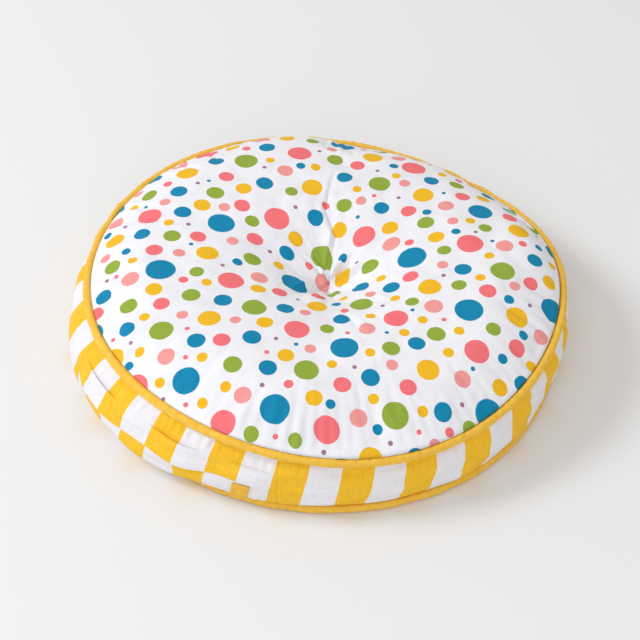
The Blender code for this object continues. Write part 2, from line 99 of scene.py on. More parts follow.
def lobe(turn, middle, width):
    """A bell curve of the angle round the cushion, with its middle and half width in degrees."""
    away = (turn - math.radians(middle) + math.pi) % math.tau - math.pi
    return np.exp(-((away / math.radians(width)) ** 2))


def settle(points):
    """How the regular cushion lies in use, as a map of space. Its base has twisted a little clockwise and
    spread; the upper seam rises and falls in one, two and three waves round; the left side swells as a half
    sine of the height and the lower band slumps out over the lower piping, most at the front left; the right
    side is pressed in, most at the seam behind; the tuft leans forwards as a bell curve of the radius."""
    x, y, z = np.moveaxis(np.array(points, float), -1, 0)
    turn, radius = np.arctan2(y, x), np.hypot(x, y)
    reach = np.clip(radius / SEAM_RADIUS, 0, 1)
    share = np.clip((z - BOTTOM_SEAM) / BAND_HEIGHT, 0, 1)
    upper = share**2 * (3 - 2 * share)
    once = -0.0011 - 0.0039 * np.sin(turn) - 0.0071 * np.cos(turn)
    wave = once + 0.0101 * np.cos(2 * turn) - 0.0013 * np.sin(3 * turn) + 0.0072 * np.cos(3 * turn)
    swell = SIDE_SWELL * np.sin(np.pi * share) * np.clip(np.cos(turn - SIDE_SWELL_TURN), 0, 1) ** 1.5
    low = np.clip((share - 0.055) / 0.945, 0, 1)
    slump = (SLUMP + SLUMP_LEFT * lobe(turn, 219, 28)) * np.sin(np.pi * low**0.42)
    spread = BASE_SPREAD * (1 - share) ** 2 - TUCK * lobe(turn, 228, 26) * np.exp(-((share / 0.1) ** 2))
    pressed = PRESSED_SEAM * upper * lobe(turn, 40, 32) + PRESSED_BASE * (1 - upper) * lobe(turn, -16, 31)
    pressed = pressed + PRESSED_RIGHT * lobe(turn, -3, 32)
    radius = radius + (swell + slump + spread - pressed) * reach**4
    turn = turn - BASE_TWIST * (1 - share) * reach**2
    lean = TUFT_LEAN * upper * np.exp(-((radius / TUFT_LEAN_WIDTH) ** 2))
    return np.stack((radius * np.cos(turn), radius * np.sin(turn) - lean, z + wave * reach**2 * upper), -1)


def crown(radius):
    """Height of the cover over its upper seam: a dome flat in the middle and steep at its rim, less the
    funnel round the tuft, an exponential that is deepest at the centre."""
    reach = np.clip(radius / (SEAM_RADIUS - PIPING_RADIUS), 0, 1)
    dome = CROWN * (1 - reach**9) ** 0.85
    return dome - (CROWN + TUFT_DROP) * np.exp(-((radius / FUNNEL_WIDTH) ** 1.1))


def dimple(radius):
    """Height of the base over the floor: a raised cosine over the knot."""
    reach = np.clip(radius / BASE_DIMPLE_RADIUS, 0, 1)
    return BASE_DIMPLE * (1 + np.cos(np.pi * reach)) / 2


def ripple(turn, across, along_size, across_size, seed, count=28):
    """Soft unevenness of about unit height: a seeded sum of sine waves, whole numbers of them round the
    cushion, that are near along_size long at the seam and near across_size wide."""
    draw = np.random.default_rng(seed)
    total = 0.0
    for _ in range(count):
        waves = max(1, round(math.tau * SEAM_RADIUS / along_size * draw.uniform(0.45, 1.6)))
        cross = math.tau / across_size * draw.uniform(-1.3, 1.3)
        total = total + np.sin(waves * turn + cross * across + draw.uniform(0, math.tau))
    return total * math.sqrt(2 / count)


def surface(name, rows, flat=None, closed_across=False, closed_along=True, outward=1):
    """A mesh over a grid of points: rows[i, j] has its neighbours at i + 1 and j + 1, joined in fours.
    closed_along joins the last column to the first, and closed_across the last row. flat holds each
    corner's place on the flat cloth, with one more column where the columns close, for the UV map."""
    count, columns = rows.shape[:2]
    i = np.arange(count if closed_across else count - 1)[:, None]
    j = np.arange(columns if closed_along else columns - 1)[None, :]
    order = slice(None) if outward > 0 else slice(None, None, -1)

    def fours(near, far, wide, ahead):
        """Each face's four corners, as numbers of points on a grid that is wide points wide."""
        near, far = near * wide, far * wide
        corners = np.broadcast_arrays(near + j, near + ahead, far + ahead, far + j)
        return np.stack(corners, -1).reshape(-1, 4)[:, order]

    mesh = bpy.data.meshes.new(name)
    faces = fours(i, (i + 1) % count, columns, (j + 1) % columns)
    mesh.from_pydata(rows.reshape(-1, 3).tolist(), [], faces.tolist())
    if flat is not None:
        corner = fours(i, (i + 1) % flat.shape[0], flat.shape[1], j + 1)
        cut = mesh.uv_layers.new(name="cut")
        cut.data.foreach_set("uv", flat.reshape(-1, 2)[corner.ravel()].astype(np.float32).ravel())
    mesh.shade_smooth()
    made = bpy.data.objects.new(name, mesh)
    bpy.context.scene.collection.objects.link(made)
    return made


def weld(made):
    """Merges what lies in one place, such as the points of a pole."""
    import bmesh

    bm = bmesh.new()
    bm.from_mesh(made.data)
    bmesh.ops.remove_doubles(bm, verts=bm.verts, dist=1e-6)
    bm.to_mesh(made.data)
    bm.free()
    return made


def thicken(made, thickness=FABRIC):
    """Gives a cloth its thickness, inwards from its face."""
    wall = made.modifiers.new("cloth", "SOLIDIFY")
    wall.thickness, wall.offset, wall.use_even_offset = thickness, -1, False
    return made


def turned(reach, turn, height):
    """Points from their distance from the axis, their angle round it and their height."""
    return np.stack(np.broadcast_arrays(reach * np.cos(turn), reach * np.sin(turn), height), -1)


def around(radius, height, columns):
    """Points of a profile of radius and height turned round the axis, in rows along the profile."""
    turn = np.arange(columns) * math.tau / columns
    return turned(np.atleast_2d(radius.T).T, turn, np.atleast_2d(height.T).T)


def linear(code):
    """An sRGB hex colour as linear red, green, blue and alpha."""
    share = [int(code[n : n + 2], 16) / 255 for n in (0, 2, 4)]
    return [s / 12.92 if s <= 0.04045 else ((s + 0.055) / 1.055) ** 2.4 for s in share] + [1.0]


def put(tree, node, ins):
    """Gives a shader node its inputs: each is linked if given a socket, or else set."""
    for name, value in ins.items():
        if isinstance(value, bpy.types.NodeSocket):
            tree.links.new(value, node.inputs[name])
        else:
            node.inputs[name].default_value = value


def add(tree, kind, props=None, ins=None, ramp=()):
    """Adds a shader node with its settings and inputs, and a colour ramp's stops by place and colour."""
    made = tree.nodes.new("ShaderNode" + kind)
    for name, value in (props or {}).items():
        setattr(made, name, value)
    for stop, (place, code) in enumerate(ramp):
        made.color_ramp.elements[stop].position = place
        made.color_ramp.elements[stop].color = linear(code)
    put(tree, made, ins or {})
    return made


def blank(name):
    """A new material's node tree, its Principled shader and the material."""
    made = bpy.data.materials.new(name)
    made.use_nodes = True
    return made.node_tree, made.node_tree.nodes["Principled BSDF"], made


def woven(tree, place, pitch, slant=0.0):
    """Height of a plain weave: the product of two sine waves, one across each set of threads."""
    turn_by = {"Rotation": (0, 0, slant), "Scale": [math.tau / pitch] * 3}
    threads = add(tree, "Mapping", ins={"Vector": place, **turn_by})
    parts = add(tree, "SeparateXYZ", ins={0: threads.outputs[0]})
    warp = add(tree, "Math", {"operation": "SINE"}, {0: parts.outputs["X"]})
    weft = add(tree, "Math", {"operation": "SINE"}, {0: parts.outputs["Y"]})
    return add(tree, "Math", {"operation": "MULTIPLY"}, {0: warp.outputs[0], 1: weft.outputs[0]}).outputs[0]


# Calico is a plain weave left unbleached: creamy, with flecks of seed husk and uneven threads. It looks
# matt and a little rough. Threads are really 0.4 mm apart, and are drawn at 1.5 mm so that they show.
tree, shader, calico = blank("unbleached_calico_plain_weave")
place = add(tree, "TexCoord").outputs["Object"]
fleck = add(tree, "TexNoise", ins={"Vector": place, "Scale": 420.0, "Detail": 2.0})
tint = add(tree, "ValToRGB", ins={0: fleck.outputs[0]}, ramp=((0.24, "9C8358"), (0.30, "E6DCC3")))
bump = add(tree, "Bump", ins={"Height": woven(tree, place, 0.0015), "Strength": 0.35, "Distance": 0.0002})
put(tree, shader, {"Base Color": tint.outputs[0], "Normal": bump.outputs[0]})
put(tree, shader, {"Roughness": 0.9, "Sheen Weight": 0.2})

# Hollow polyester fibre, carded into a fluffy wad: white, very matt, with soft clumps a few millimetres wide.
tree, shader, fibre = blank("carded_polyester_fibre")
place = add(tree, "TexCoord").outputs["Object"]
tangle = add(tree, "TexNoise", ins={"Vector": place, "Scale": 130.0, "Detail": 6.0, "Distortion": 1.8})
tint = add(tree, "ValToRGB", ins={0: tangle.outputs[0]}, ramp=((0.3, "D9DBD8"), (0.7, "F6F7F4")))
bump = add(tree, "Bump", ins={"Height": tangle.outputs[0], "Strength": 0.8, "Distance": 0.002})
put(tree, shader, {"Base Color": tint.outputs[0], "Normal": bump.outputs[0]})
put(tree, shader, {"Roughness": 0.95, "Sheen Weight": 0.4})

PAD_COLUMNS = 240


def pad_half(side, inset):
    """Half of the pad, from its waist to the tuft: a full side that eases in to a neck between the seam
    allowances as a smooth step of the height, a rounded shoulder, and then the cover's own crown or base,
    drawn in by inset. Rows run from the waist."""
    waist = (TOP_SEAM + BOTTOM_SEAM) / 2
    neck = (TOP_SEAM if side > 0 else BOTTOM_SEAM) - side * PAD_NECK_DROP
    near = np.linspace(0, 1, 20)
    ease = np.clip((near - 0.25) / 0.75, 0, 1)
    radius = PAD_SIDE - (PAD_SIDE - PAD_NECK) * ease**2 * (3 - 2 * ease) - inset
    height = waist + (neck - waist) * near
    inwards = np.linspace(1, 0, 70)
    flat_radius = (PAD_NECK - inset) * inwards
    if side > 0:
        level = TOP_SEAM + crown(flat_radius + 0.002) - PAD_UNDER_COVER - inset
        level = level - PAD_UNDER_FOLDS * np.exp(-((flat_radius / PAD_FOLDS_WIDTH) ** 2))
        level = level - PAD_SHOULDER * np.clip((inwards - 0.93) / 0.07, 0, 1) ** 2
    else:
        level = FABRIC + PAD_OVER_BASE + inset + dimple(flat_radius)
        level = level + PAD_SHOULDER * np.clip((inwards - 0.95) / 0.05, 0, 1) ** 2
    points = settle(around(np.r_[radius, flat_radius], np.r_[height, level], PAD_COLUMNS))
    turn = np.arctan2(points[..., 1], points[..., 0])
    reach = np.minimum(np.hypot(points[..., 0], points[..., 1]), PAD_SIDE - inset)
    uneven = abs(0.0005 * ripple(turn, points[..., 2], 0.05, 0.04, 11)) * (reach > 0.04)
    points[..., 0], points[..., 1] = (reach - uneven) * np.cos(turn), (reach - uneven) * np.sin(turn)
    points[..., 2] -= side * uneven * (reach < 0.2) * (side > 0)
    return points


for side, node in ((1, "inner_cover_top"), (-1, "inner_cover_bottom")):
    half = weld(surface("pad_" + node.split("_")[-1], pad_half(side, 0.0), outward=side))
    thicken(half)
    half.data.materials.append(calico)
    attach(half, "cushion")
    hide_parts(node)
whole = np.concatenate((pad_half(1, FIBRE_UNDER_CALICO)[::-1], pad_half(-1, FIBRE_UNDER_CALICO)[1:]))
stuffing = weld(surface("pad_filling", whole, outward=-1))
stuffing.data.materials.append(fibre)
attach(stuffing, "cushion")
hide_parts("filling")

# Bottom panel: a flat disc of white cotton printed like the top one, hemmed to the lower piping and drawn
# up a little over the tuft's knot. The print is loose round dots of five inks, spread so that no two touch.
NECK = 0.0054
ALLOWANCE = 0.018
ALLOWANCE_LEVEL = 0.0017
PANEL_COLUMNS = 480
PANEL_RADIUS = SEAM_RADIUS - NECK
FLAT_RADIUS = 0.315
DOT_GAP = 0.0036
DOT_TRIES = 420
INKS = {
    "teal": "0087B3",
    "coral": "F6777D",
    "green": "93AE3E",
    "yellow": "F3BD20",
    "pink": "F29E9C",
    "mauve": "A77796",
}
DOTS = (  # ink, diameter in millimetres, how many on one panel
    ("teal", 33, 16),
    ("coral", 31, 18),
    ("green", 30, 13),
    ("yellow", 27, 19),
    ("green", 21, 22),
    ("teal", 21, 40),
    ("coral", 20, 27),
    ("pink", 21, 21),
    ("yellow", 20, 20),
    ("green", 17, 15),
    ("pink", 14, 24),
    ("yellow", 12.5, 42),
    ("teal", 12, 20),
    ("coral", 11, 14),
    ("mauve", 5.5, 34),
    ("teal", 5.5, 11),
    ("coral", 6, 12),
)


def scatter(seed):
    """Centres, radii and inks of the printed dots: largest first, each put at the tried place that lies
    furthest, for its size, from the dots already there, and further still from those of its own ink."""
    draw = np.random.default_rng(seed)
    centres, radii, inks = np.zeros((0, 2)), np.zeros(0), []
    for ink, diameter, count in DOTS:
        for _ in range(count):
            radius = diameter / 2000 * draw.uniform(0.95, 1.06)
            turn = draw.uniform(0, math.tau, DOT_TRIES)
            reach = FLAT_RADIUS * np.sqrt(draw.uniform(0, 1, DOT_TRIES))
            tries = np.stack((reach * np.cos(turn), reach * np.sin(turn)), 1)
            if len(radii):
                room = np.hypot(*(tries[:, None] - centres).transpose(2, 0, 1)) - radii - radius
                alike = np.array([other == ink for other in inks])
                score = np.minimum(room.min(1), 0.026)
                if alike.any():
                    score = score + 0.35 * np.minimum(room[:, alike].min(1), 0.07)
                score[room.min(1) < DOT_GAP] = -1
                best = score.argmax()
                if score[best] < 0:
                    continue
            else:
                best = 0
            centres, radii = np.r_[centres, tries[best : best + 1]], np.r_[radii, radius]
            inks.append(ink)
    return centres, radii, np.array([linear(INKS[ink]) for ink in inks])


def print_dots(made, seed):
    """Stores on each face's corners the way from the middle of its nearest dot, as a share of that dot's
    radius, and the dot's ink."""
    mesh = made.data
    corners = np.empty(len(mesh.loops) * 2, np.float32)
    mesh.uv_layers["cut"].data.foreach_get("uv", corners)
    corners = corners.reshape(-1, 2).astype(float)
    starts = np.empty(len(mesh.polygons), np.int64)
    sizes = np.empty(len(mesh.polygons), np.int64)
    mesh.polygons.foreach_get("loop_start", starts)
    mesh.polygons.foreach_get("loop_total", sizes)
    face = np.repeat(np.arange(len(starts)), sizes)
    middles = np.stack([np.bincount(face, corners[:, n]) / sizes for n in (0, 1)], 1)
    centres, radii, inks = scatter(seed)
    nearest = []
    for part in np.array_split(middles, 40):
        nearest.append((np.hypot(*(part[:, None] - centres).transpose(2, 0, 1)) - radii).argmin(1))
    nearest = np.concatenate(nearest)[face]
    offset = np.zeros((len(corners), 3))
    offset[:, :2] = (corners - centres[nearest]) / radii[nearest, None]
    dot = mesh.attributes.new("dot", "FLOAT_VECTOR", "CORNER")
    dot.data.foreach_set("vector", offset.astype(np.float32).ravel())
    ink = mesh.attributes.new("ink", "FLOAT_COLOR", "CORNER")
    ink.data.foreach_set("color", inks[nearest].astype(np.float32).ravel())


# Cotton canvas, woven plain, bleached and printed from rotary screens in pigment inks: a matt white with a
# cool cast and flat dots whose edges bleed a little along the threads. Threads are really 0.35 mm apart,
# and are drawn at 1.3 mm so that they show.
def printed_cotton(name, ground_with_painted_crease_shade):
    """The printed canvas, its unprinted white between two near colours that follow the crease noise: darker
    in its hollows, partly painted crease shade and partly uneven tone.
    """
    tree, shader, made = blank(name)
    cut = add(tree, "UVMap", {"uv_map": "cut"}).outputs[0]
    place = add(tree, "TexCoord").outputs["Object"]
    weave = woven(tree, cut, 0.0013)
    long_slubs = add(tree, "Mapping", ins={"Vector": cut, "Scale": (60.0, 900.0, 1.0)})
    cross_slubs = add(tree, "Mapping", ins={"Vector": cut, "Scale": (900.0, 60.0, 1.0)})
    slub_a = add(tree, "TexNoise", ins={"Vector": long_slubs.outputs[0], "Scale": 1.0, "Detail": 1.0})
    slub_b = add(tree, "TexNoise", ins={"Vector": cross_slubs.outputs[0], "Scale": 1.0, "Detail": 1.0})
    slubs = add(tree, "Math", {"operation": "ADD"}, {0: slub_a.outputs[0], 1: slub_b.outputs[0]})
    height = add(tree, "Math", {"operation": "MULTIPLY_ADD"}, {0: weave, 1: 0.35, 2: slubs.outputs[0]})
    rumple = {"Vector": place, "Scale": 22.0, "Detail": 4.0, "Distortion": 0.6}
    creases = add(tree, "TexNoise", ins=rumple)
    coarse = add(tree, "Bump", ins={"Height": creases.outputs[0], "Strength": 0.25, "Distance": 0.0035})
    fine = {"Height": height.outputs[0], "Strength": 0.5, "Distance": 0.0002, "Normal": coarse.outputs[0]}
    bump = add(tree, "Bump", ins=fine)
    bleed = add(tree, "TexNoise", ins={"Vector": cut, "Scale": 900.0, "Detail": 1.0})
    dot = add(tree, "Attribute", {"attribute_name": "dot"})
    reach = add(tree, "VectorMath", {"operation": "LENGTH"}, {0: dot.outputs["Vector"]})
    spread = {0: bleed.outputs[0], 1: 0.07, 2: reach.outputs["Value"]}
    edge = add(tree, "Math", {"operation": "MULTIPLY_ADD"}, spread)
    fall = {"From Min": 1.01, "From Max": 1.05, "To Min": 1.0, "To Max": 0.0}
    printed = add(tree, "MapRange", ins={"Value": edge.outputs[0], **fall})
    ink = add(tree, "Attribute", {"attribute_name": "ink"})
    thin = {"From Min": 0.6, "From Max": 1.4, "To Min": 0.985, "To Max": 1.0}
    worn = add(tree, "MapRange", ins={"Value": slubs.outputs[0], **thin})
    cover = add(tree, "Math", {"operation": "MULTIPLY"}, {0: printed.outputs[0], 1: worn.outputs[0]})
    # Painted shade: the unprinted white is darker where the crease noise is low, in the hollows of its bump,
    # mixed with uneven tone of the cloth.
    tone = add(tree, "ValToRGB", ins={0: creases.outputs[0]}, ramp=((0.3, ground_with_painted_crease_shade[0]), (0.7, ground_with_painted_crease_shade[1])))
    layers = {0: cover.outputs[0], 6: tone.outputs[0], 7: ink.outputs["Color"]}
    colour = add(tree, "Mix", {"data_type": "RGBA"}, layers)
    gloss = add(tree, "MapRange", ins={"Value": printed.outputs[0], "To Min": 0.86, "To Max": 0.74})
    put(tree, shader, {"Base Color": colour.outputs[2], "Normal": bump.outputs[0]})
    put(tree, shader, {"Roughness": gloss.outputs[0]})
    put(tree, shader, {"Sheen Weight": 0.03, "Sheen Roughness": 0.5, "Specular IOR Level": 0.1})
    return made


radius = np.r_[SEAM_RADIUS - ALLOWANCE, PANEL_RADIUS - np.array([0.0012, 0, 0.0008, 0.002])]
height = np.r_[[BOTTOM_SEAM - ALLOWANCE_LEVEL] * 2, BOTTOM_SEAM - 0.0030, 0.0006, 0.0]
inner = np.linspace(PANEL_RADIUS - 0.0055, 0, 84)
radius, height = np.r_[radius, inner], np.r_[height, dimple(inner)]
flat_radius = np.cumsum(np.r_[0, np.hypot(np.diff(radius), np.diff(height))][::-1])[::-1]
flat_radius = flat_radius - flat_radius[-1]
rows = around(radius, height, PANEL_COLUMNS)
gathers = ripple(np.arctan2(rows[..., 1], rows[..., 0]), rows[..., 2], 0.022, 1.0, 21)
near_knot = np.exp(-(((radius - 0.030) / 0.016) ** 2))[:, None]
rows[..., 2] += 0.0006 * (1 + gathers.clip(-1, 1)) * near_knot
flat = around(flat_radius, flat_radius * 0, PANEL_COLUMNS)[..., :2]
flat = np.concatenate((flat, flat[:, :1]), 1)
bottom = weld(surface("cover_bottom_panel", settle(rows), flat, outward=-1))
print_dots(bottom, 7)
thicken(bottom, FABRIC * 0.9)
bottom.data.materials.append(printed_cotton("printed_cotton_canvas_base", ("E4E3EA", "EFEEF3")))
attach(bottom, "cushion")
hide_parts("bottom_panel")

# Lower and upper piping: a cotton cord in a bias-cut strip of yellow canvas, whose two edges are sewn in
# between panel and band. The strip puckers along its stitches and its threads run slantwise.
CORD_RADIUS = PIPING_RADIUS - FABRIC - 0.0003
PIPING_COLUMNS = 720
PIPING_SIDES = 22


def piping_loop(level, radius, slit):
    """Section of the piping's cover as (radius, height): a circle open at its inner side, with a flange of
    two layers running inwards for the seam allowance, then back round the inside of the cloth."""
    near = math.asin((slit + FABRIC) / radius)
    outer = np.linspace(math.pi - near, near - math.pi, PIPING_SIDES)
    inner_near = math.asin(slit / (radius - FABRIC))
    inside = np.linspace(inner_near - math.pi, math.pi - inner_near, PIPING_SIDES)
    end, hollow = -ALLOWANCE + 0.001, radius - FABRIC
    across = np.r_[end, radius * np.cos(outer), end, end, hollow * np.cos(inside), end]
    up = np.r_[slit + FABRIC, radius * np.sin(outer), -slit - FABRIC, -slit, hollow * np.sin(inside), slit]
    return SEAM_RADIUS + across, level + up


# Yellow canvas cut on the bias: the weave runs at 45 degrees and the dye is even, with a faint tone that
# varies at random.
# Threads are drawn at 1.2 mm, three times their real size.
def plain_cotton(name, dark, light, slant):
    """The dyed canvas of the piping, with its weave turned by slant."""
    tree, shader, made = blank(name)
    cut = add(tree, "UVMap", {"uv_map": "cut"}).outputs[0]
    weave = woven(tree, cut, 0.0012, slant)
    uneven = add(tree, "TexNoise", ins={"Vector": cut, "Scale": 160.0, "Detail": 3.0})
    height = add(tree, "Math", {"operation": "MULTIPLY_ADD"}, {0: weave, 1: 0.3, 2: uneven.outputs[0]})
    bump = add(tree, "Bump", ins={"Height": height.outputs[0], "Strength": 0.5, "Distance": 0.0003})
    tone = add(tree, "ValToRGB", ins={0: uneven.outputs[0]}, ramp=((0.3, dark), (0.7, light)))
    put(tree, shader, {"Base Color": tone.outputs[0], "Normal": bump.outputs[0]})
    put(tree, shader, {"Roughness": 0.8, "Sheen Weight": 0.04, "Specular IOR Level": 0.2})
    return made


bias_cotton = plain_cotton("dyed_cotton_canvas_on_the_bias", "F0BA3A", "F8CA54", math.pi / 4)

# Piping cord is soft cotton in three strands, laid with a turn every 14 mm: matt, cream, with deep grooves.
tree, shader, laid_cord = blank("laid_cotton_cord")
place = add(tree, "TexCoord").outputs["Object"]
hair = add(tree, "TexNoise", ins={"Vector": place, "Scale": 900.0, "Detail": 4.0})
tint = add(tree, "ValToRGB", ins={0: hair.outputs[0]}, ramp=((0.3, "D8CFBC"), (0.7, "EFE8D8")))
bump = add(tree, "Bump", ins={"Height": hair.outputs[0], "Strength": 0.6, "Distance": 0.0003})
put(tree, shader, {"Base Color": tint.outputs[0], "Normal": bump.outputs[0], "Roughness": 0.9})

turns = np.arange(PIPING_COLUMNS) * math.tau / PIPING_COLUMNS
for side, level in (("bottom", BOTTOM_SEAM), ("top", TOP_SEAM)):
    loop_radius, loop_height = piping_loop(level, PIPING_RADIUS, 0.0003)
    out = np.clip((loop_radius - SEAM_RADIUS) / PIPING_RADIUS + 1, 0, 1)[:, None]
    pucker = 0.00022 * ripple(turns, 0.0, 0.011, 1.0, 31 + len(side))
    pucker = pucker + 0.0003 * ripple(turns, 0.0, 0.07, 1.0, 41)
    swell = 1 + out * pucker / PIPING_RADIUS
    reach = SEAM_RADIUS + (loop_radius[:, None] - SEAM_RADIUS) * swell
    height = level + (loop_height[:, None] - level) * swell
    if side == "bottom":
        height = height.clip(0.0002, None)
    girth = np.cumsum(np.r_[0, np.hypot(np.diff(loop_radius), np.diff(loop_height))])
    girth = np.r_[girth, girth[-1] + FABRIC][:, None]
    flat_turn = np.linspace(0, math.tau * SEAM_RADIUS, PIPING_COLUMNS + 1)[None, :]
    flat = np.stack(np.broadcast_arrays(flat_turn, girth), -1)
    rows = settle(turned(reach, turns, height))
    cover = surface(side + "_piping_strip", rows, flat, closed_across=True, outward=-1)
    cover.data.materials.append(bias_cotton)
    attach(cover, "cushion")
    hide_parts(side + "_piping_cover")

    spin = np.linspace(0, math.tau, 18, endpoint=False)[:, None]
    lay = round(math.tau * SEAM_RADIUS / 0.014)
    strand = (CORD_RADIUS - 0.0004) * (1 - 0.14 * (1 - abs(np.sin(1.5 * spin + 0.5 * lay * turns))))
    rows = turned(SEAM_RADIUS + strand * np.cos(spin), turns, level + strand * np.sin(spin))
    cord = surface(side + "_piping_cord_laid", settle(rows), closed_across=True)
    cord.data.materials.append(laid_cord)
    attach(cord, "cushion")
    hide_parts(side + "_piping_cord")

# Side band: striped canvas, seamed to both pipings. It swells with the stuffing and creases lengthways
# where the stuffing has sunk. It runs round the back from one end of the zip placket to the other.
ZIP_START = math.radians(202.5)
ZIP_END = math.radians(259.0)
STRIPES = 50
STRIPE = math.tau * (SEAM_RADIUS + BAND_BULGE) / STRIPES
FIRST_STRIPE = math.radians(266.2)


def side_radius(share):
    """Radius of the band at a share of its height: a sine arc between the pipings that dips in beside each
    piping's own round."""
    near = np.minimum(share, 1 - share)
    arc = SEAM_RADIUS + BAND_BULGE - (NECK + BAND_BULGE) * (1 - np.sin(np.pi * near.clip(0, 0.5))) ** 1.25
    clear = PIPING_RADIUS + 0.0006
    dip = SEAM_RADIUS - np.sqrt((clear**2 - (near * BAND_HEIGHT) ** 2).clip(0, None))
    return np.where(near * BAND_HEIGHT < clear, np.minimum(arc, dip), arc)


def creases(turn, share, seed):
    """Lengthways creases of the band, as inward moves in metres: wavering lines at three heights that come
    and go, a fine ripple between them, and short puckers beside each seam."""
    total = 0.0011 * ripple(turn, share * BAND_HEIGHT, 0.11, 0.030, seed)
    for n, height in enumerate((0.86, 0.62, 0.26)):
        wander = height + 0.045 * ripple(turn, 0.0, 0.16, 1.0, seed + 10 * n + 1, 8)
        there = np.clip(0.5 + 0.8 * ripple(turn, 0.0, 0.20, 1.0, seed + 10 * n + 2, 8), 0, 1)
        total = total + 0.0016 * there * np.exp(-(((share - wander) / 0.028) ** 2))
    near = np.minimum(share, 1 - share) * BAND_HEIGHT
    pucker = 0.0007 * ripple(turn, 0.0, 0.014, 1.0, seed + 5) * np.exp(-((near - 0.009) / 0.007) ** 2)
    pucker = pucker * np.clip(share * 1.6 - 0.3, 0.12, 1)
    return (total + pucker) * np.clip((near - 0.003) / 0.008, 0, 1)


def stripes_of(turn, share, offset=0.0):
    """Where points of the band lie on its flat cloth: along by angle, across by height."""
    along = (turn - FIRST_STRIPE) * (SEAM_RADIUS + BAND_BULGE) + offset
    return np.stack(np.broadcast_arrays(along, share * BAND_HEIGHT), -1)


# Yarn-dyed cotton canvas in even stripes, warp along the cushion's height: a warm yellow and a cool white,
# each edge straight to a thread. Threads are drawn at 1.3 mm, four times their real size.
tree, shader, striped = blank("yarn_dyed_cotton_canvas_striped")
cut = add(tree, "UVMap", {"uv_map": "cut"}).outputs[0]
slub_place = add(tree, "Mapping", ins={"Vector": cut, "Scale": (900.0, 70.0, 1.0)})
slub = add(tree, "TexNoise", ins={"Vector": slub_place.outputs[0], "Scale": 1.0, "Detail": 2.0})
fold_place = add(tree, "Mapping", ins={"Vector": cut, "Scale": (22.0, 190.0, 1.0)})
rumple = {"Vector": fold_place.outputs[0], "Scale": 1.0, "Detail": 3.0, "Distortion": 0.4}
fold = add(tree, "TexNoise", ins=rumple)
parts = add(tree, "SeparateXYZ", ins={0: cut})
step = add(tree, "Math", {"operation": "MULTIPLY"}, {0: parts.outputs["X"], 1: 0.5 / STRIPE})
phase = add(tree, "Math", {"operation": "FRACT"}, {0: step.outputs[0]})
which = add(tree, "Math", {"operation": "LESS_THAN"}, {0: phase.outputs[0], 1: 0.5})
white = add(tree, "ValToRGB", ins={0: slub.outputs[0]}, ramp=((0.3, "E4E4E9"), (0.7, "F1F0F3")))
yellow = add(tree, "ValToRGB", ins={0: slub.outputs[0]}, ramp=((0.3, "EFB61E"), (0.7, "FACB38")))
layers = {0: which.outputs[0], 6: yellow.outputs[0], 7: white.outputs[0]}
colour = add(tree, "Mix", {"data_type": "RGBA"}, layers)
coarse = add(tree, "Bump", ins={"Height": fold.outputs[0], "Strength": 0.35, "Distance": 0.002})
grain = {0: woven(tree, cut, 0.0013), 1: 0.35, 2: slub.outputs[0]}
height = add(tree, "Math", {"operation": "MULTIPLY_ADD"}, grain)
fine = {"Height": height.outputs[0], "Strength": 0.45, "Distance": 0.0002, "Normal": coarse.outputs[0]}
bump = add(tree, "Bump", ins=fine)
put(tree, shader, {"Base Color": colour.outputs[2], "Normal": bump.outputs[0]})
put(tree, shader, {"Roughness": 0.82, "Sheen Weight": 0.03, "Specular IOR Level": 0.2})

BAND_ROWS = 46


def before_twist(turn, share):
    """The angle on the regular round of what lies at turn once the base has twisted, so that the ends of
    the placket stand upright and clear of the zip's pull."""
    return turn + BASE_TWIST * (1 - np.clip(share, 0, 1))


def placed(turn, reach, share):
    """Settled points of the band from angle, radius and share of its height."""
    return settle(turned(reach, turn, BOTTOM_SEAM + share * BAND_HEIGHT))


edge_share = ALLOWANCE_LEVEL / BAND_HEIGHT
ease = np.linspace(0, 1, BAND_ROWS)
shares = edge_share + (1 - 2 * edge_share) * (0.35 * ease + 0.65 * (0.5 - 0.5 * np.cos(np.pi * ease)))
allowance_radius = np.array([[SEAM_RADIUS - ALLOWANCE], [PANEL_RADIUS - 0.0014]])
share = np.r_[[edge_share] * 2, shares, [1 - edge_share] * 2][:, None]
turn = before_twist(np.linspace(ZIP_END + 0.0002, ZIP_START + math.tau - 0.0002, 620)[None, :], share)
reach = side_radius(share) - creases(turn, share, 51)
reach[:2], reach[-2:] = allowance_radius, allowance_radius[::-1]
band = surface("cover_side_band", placed(turn, reach, share), stripes_of(turn, share), closed_along=False)
thicken(band)
band.data.materials.append(striped)
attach(band, "cushion")
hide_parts("side_band")

# Zip placket: below the upper piping the band is a lap, folded under at its edge, that hangs over the zip;
# below the zip is a second strip, set back under it, whose stripes are one stripe out of step as far as the
# join under the tab.
LAP_EDGE = 0.488
LAP_LAYERS = 0.0011
UNDER_EDGE = 0.498
UNDER_SETBACK = 0.0024
UNDER_JOIN = FIRST_STRIPE - 2 * math.tau / STRIPES


def along_placket(turn):
    """Share of the way along the placket."""
    return (turn - ZIP_START) / (ZIP_END - ZIP_START)


def lap_stand(turn):
    """How far the lap stands out from the band's round: nothing where its ends are sewn down, most near the
    open end, with a slow wave."""
    share = along_placket(turn)
    ends = np.clip(np.minimum(share, 1 - share) / 0.05, 0, 1)
    wave = 0.0003 * ripple(turn, 0.0, 0.08, 1.0, 61, 8)
    return ends * (0.0009 + 0.0012 * np.exp(-(((share - 0.14) / 0.14) ** 2)) + wave)


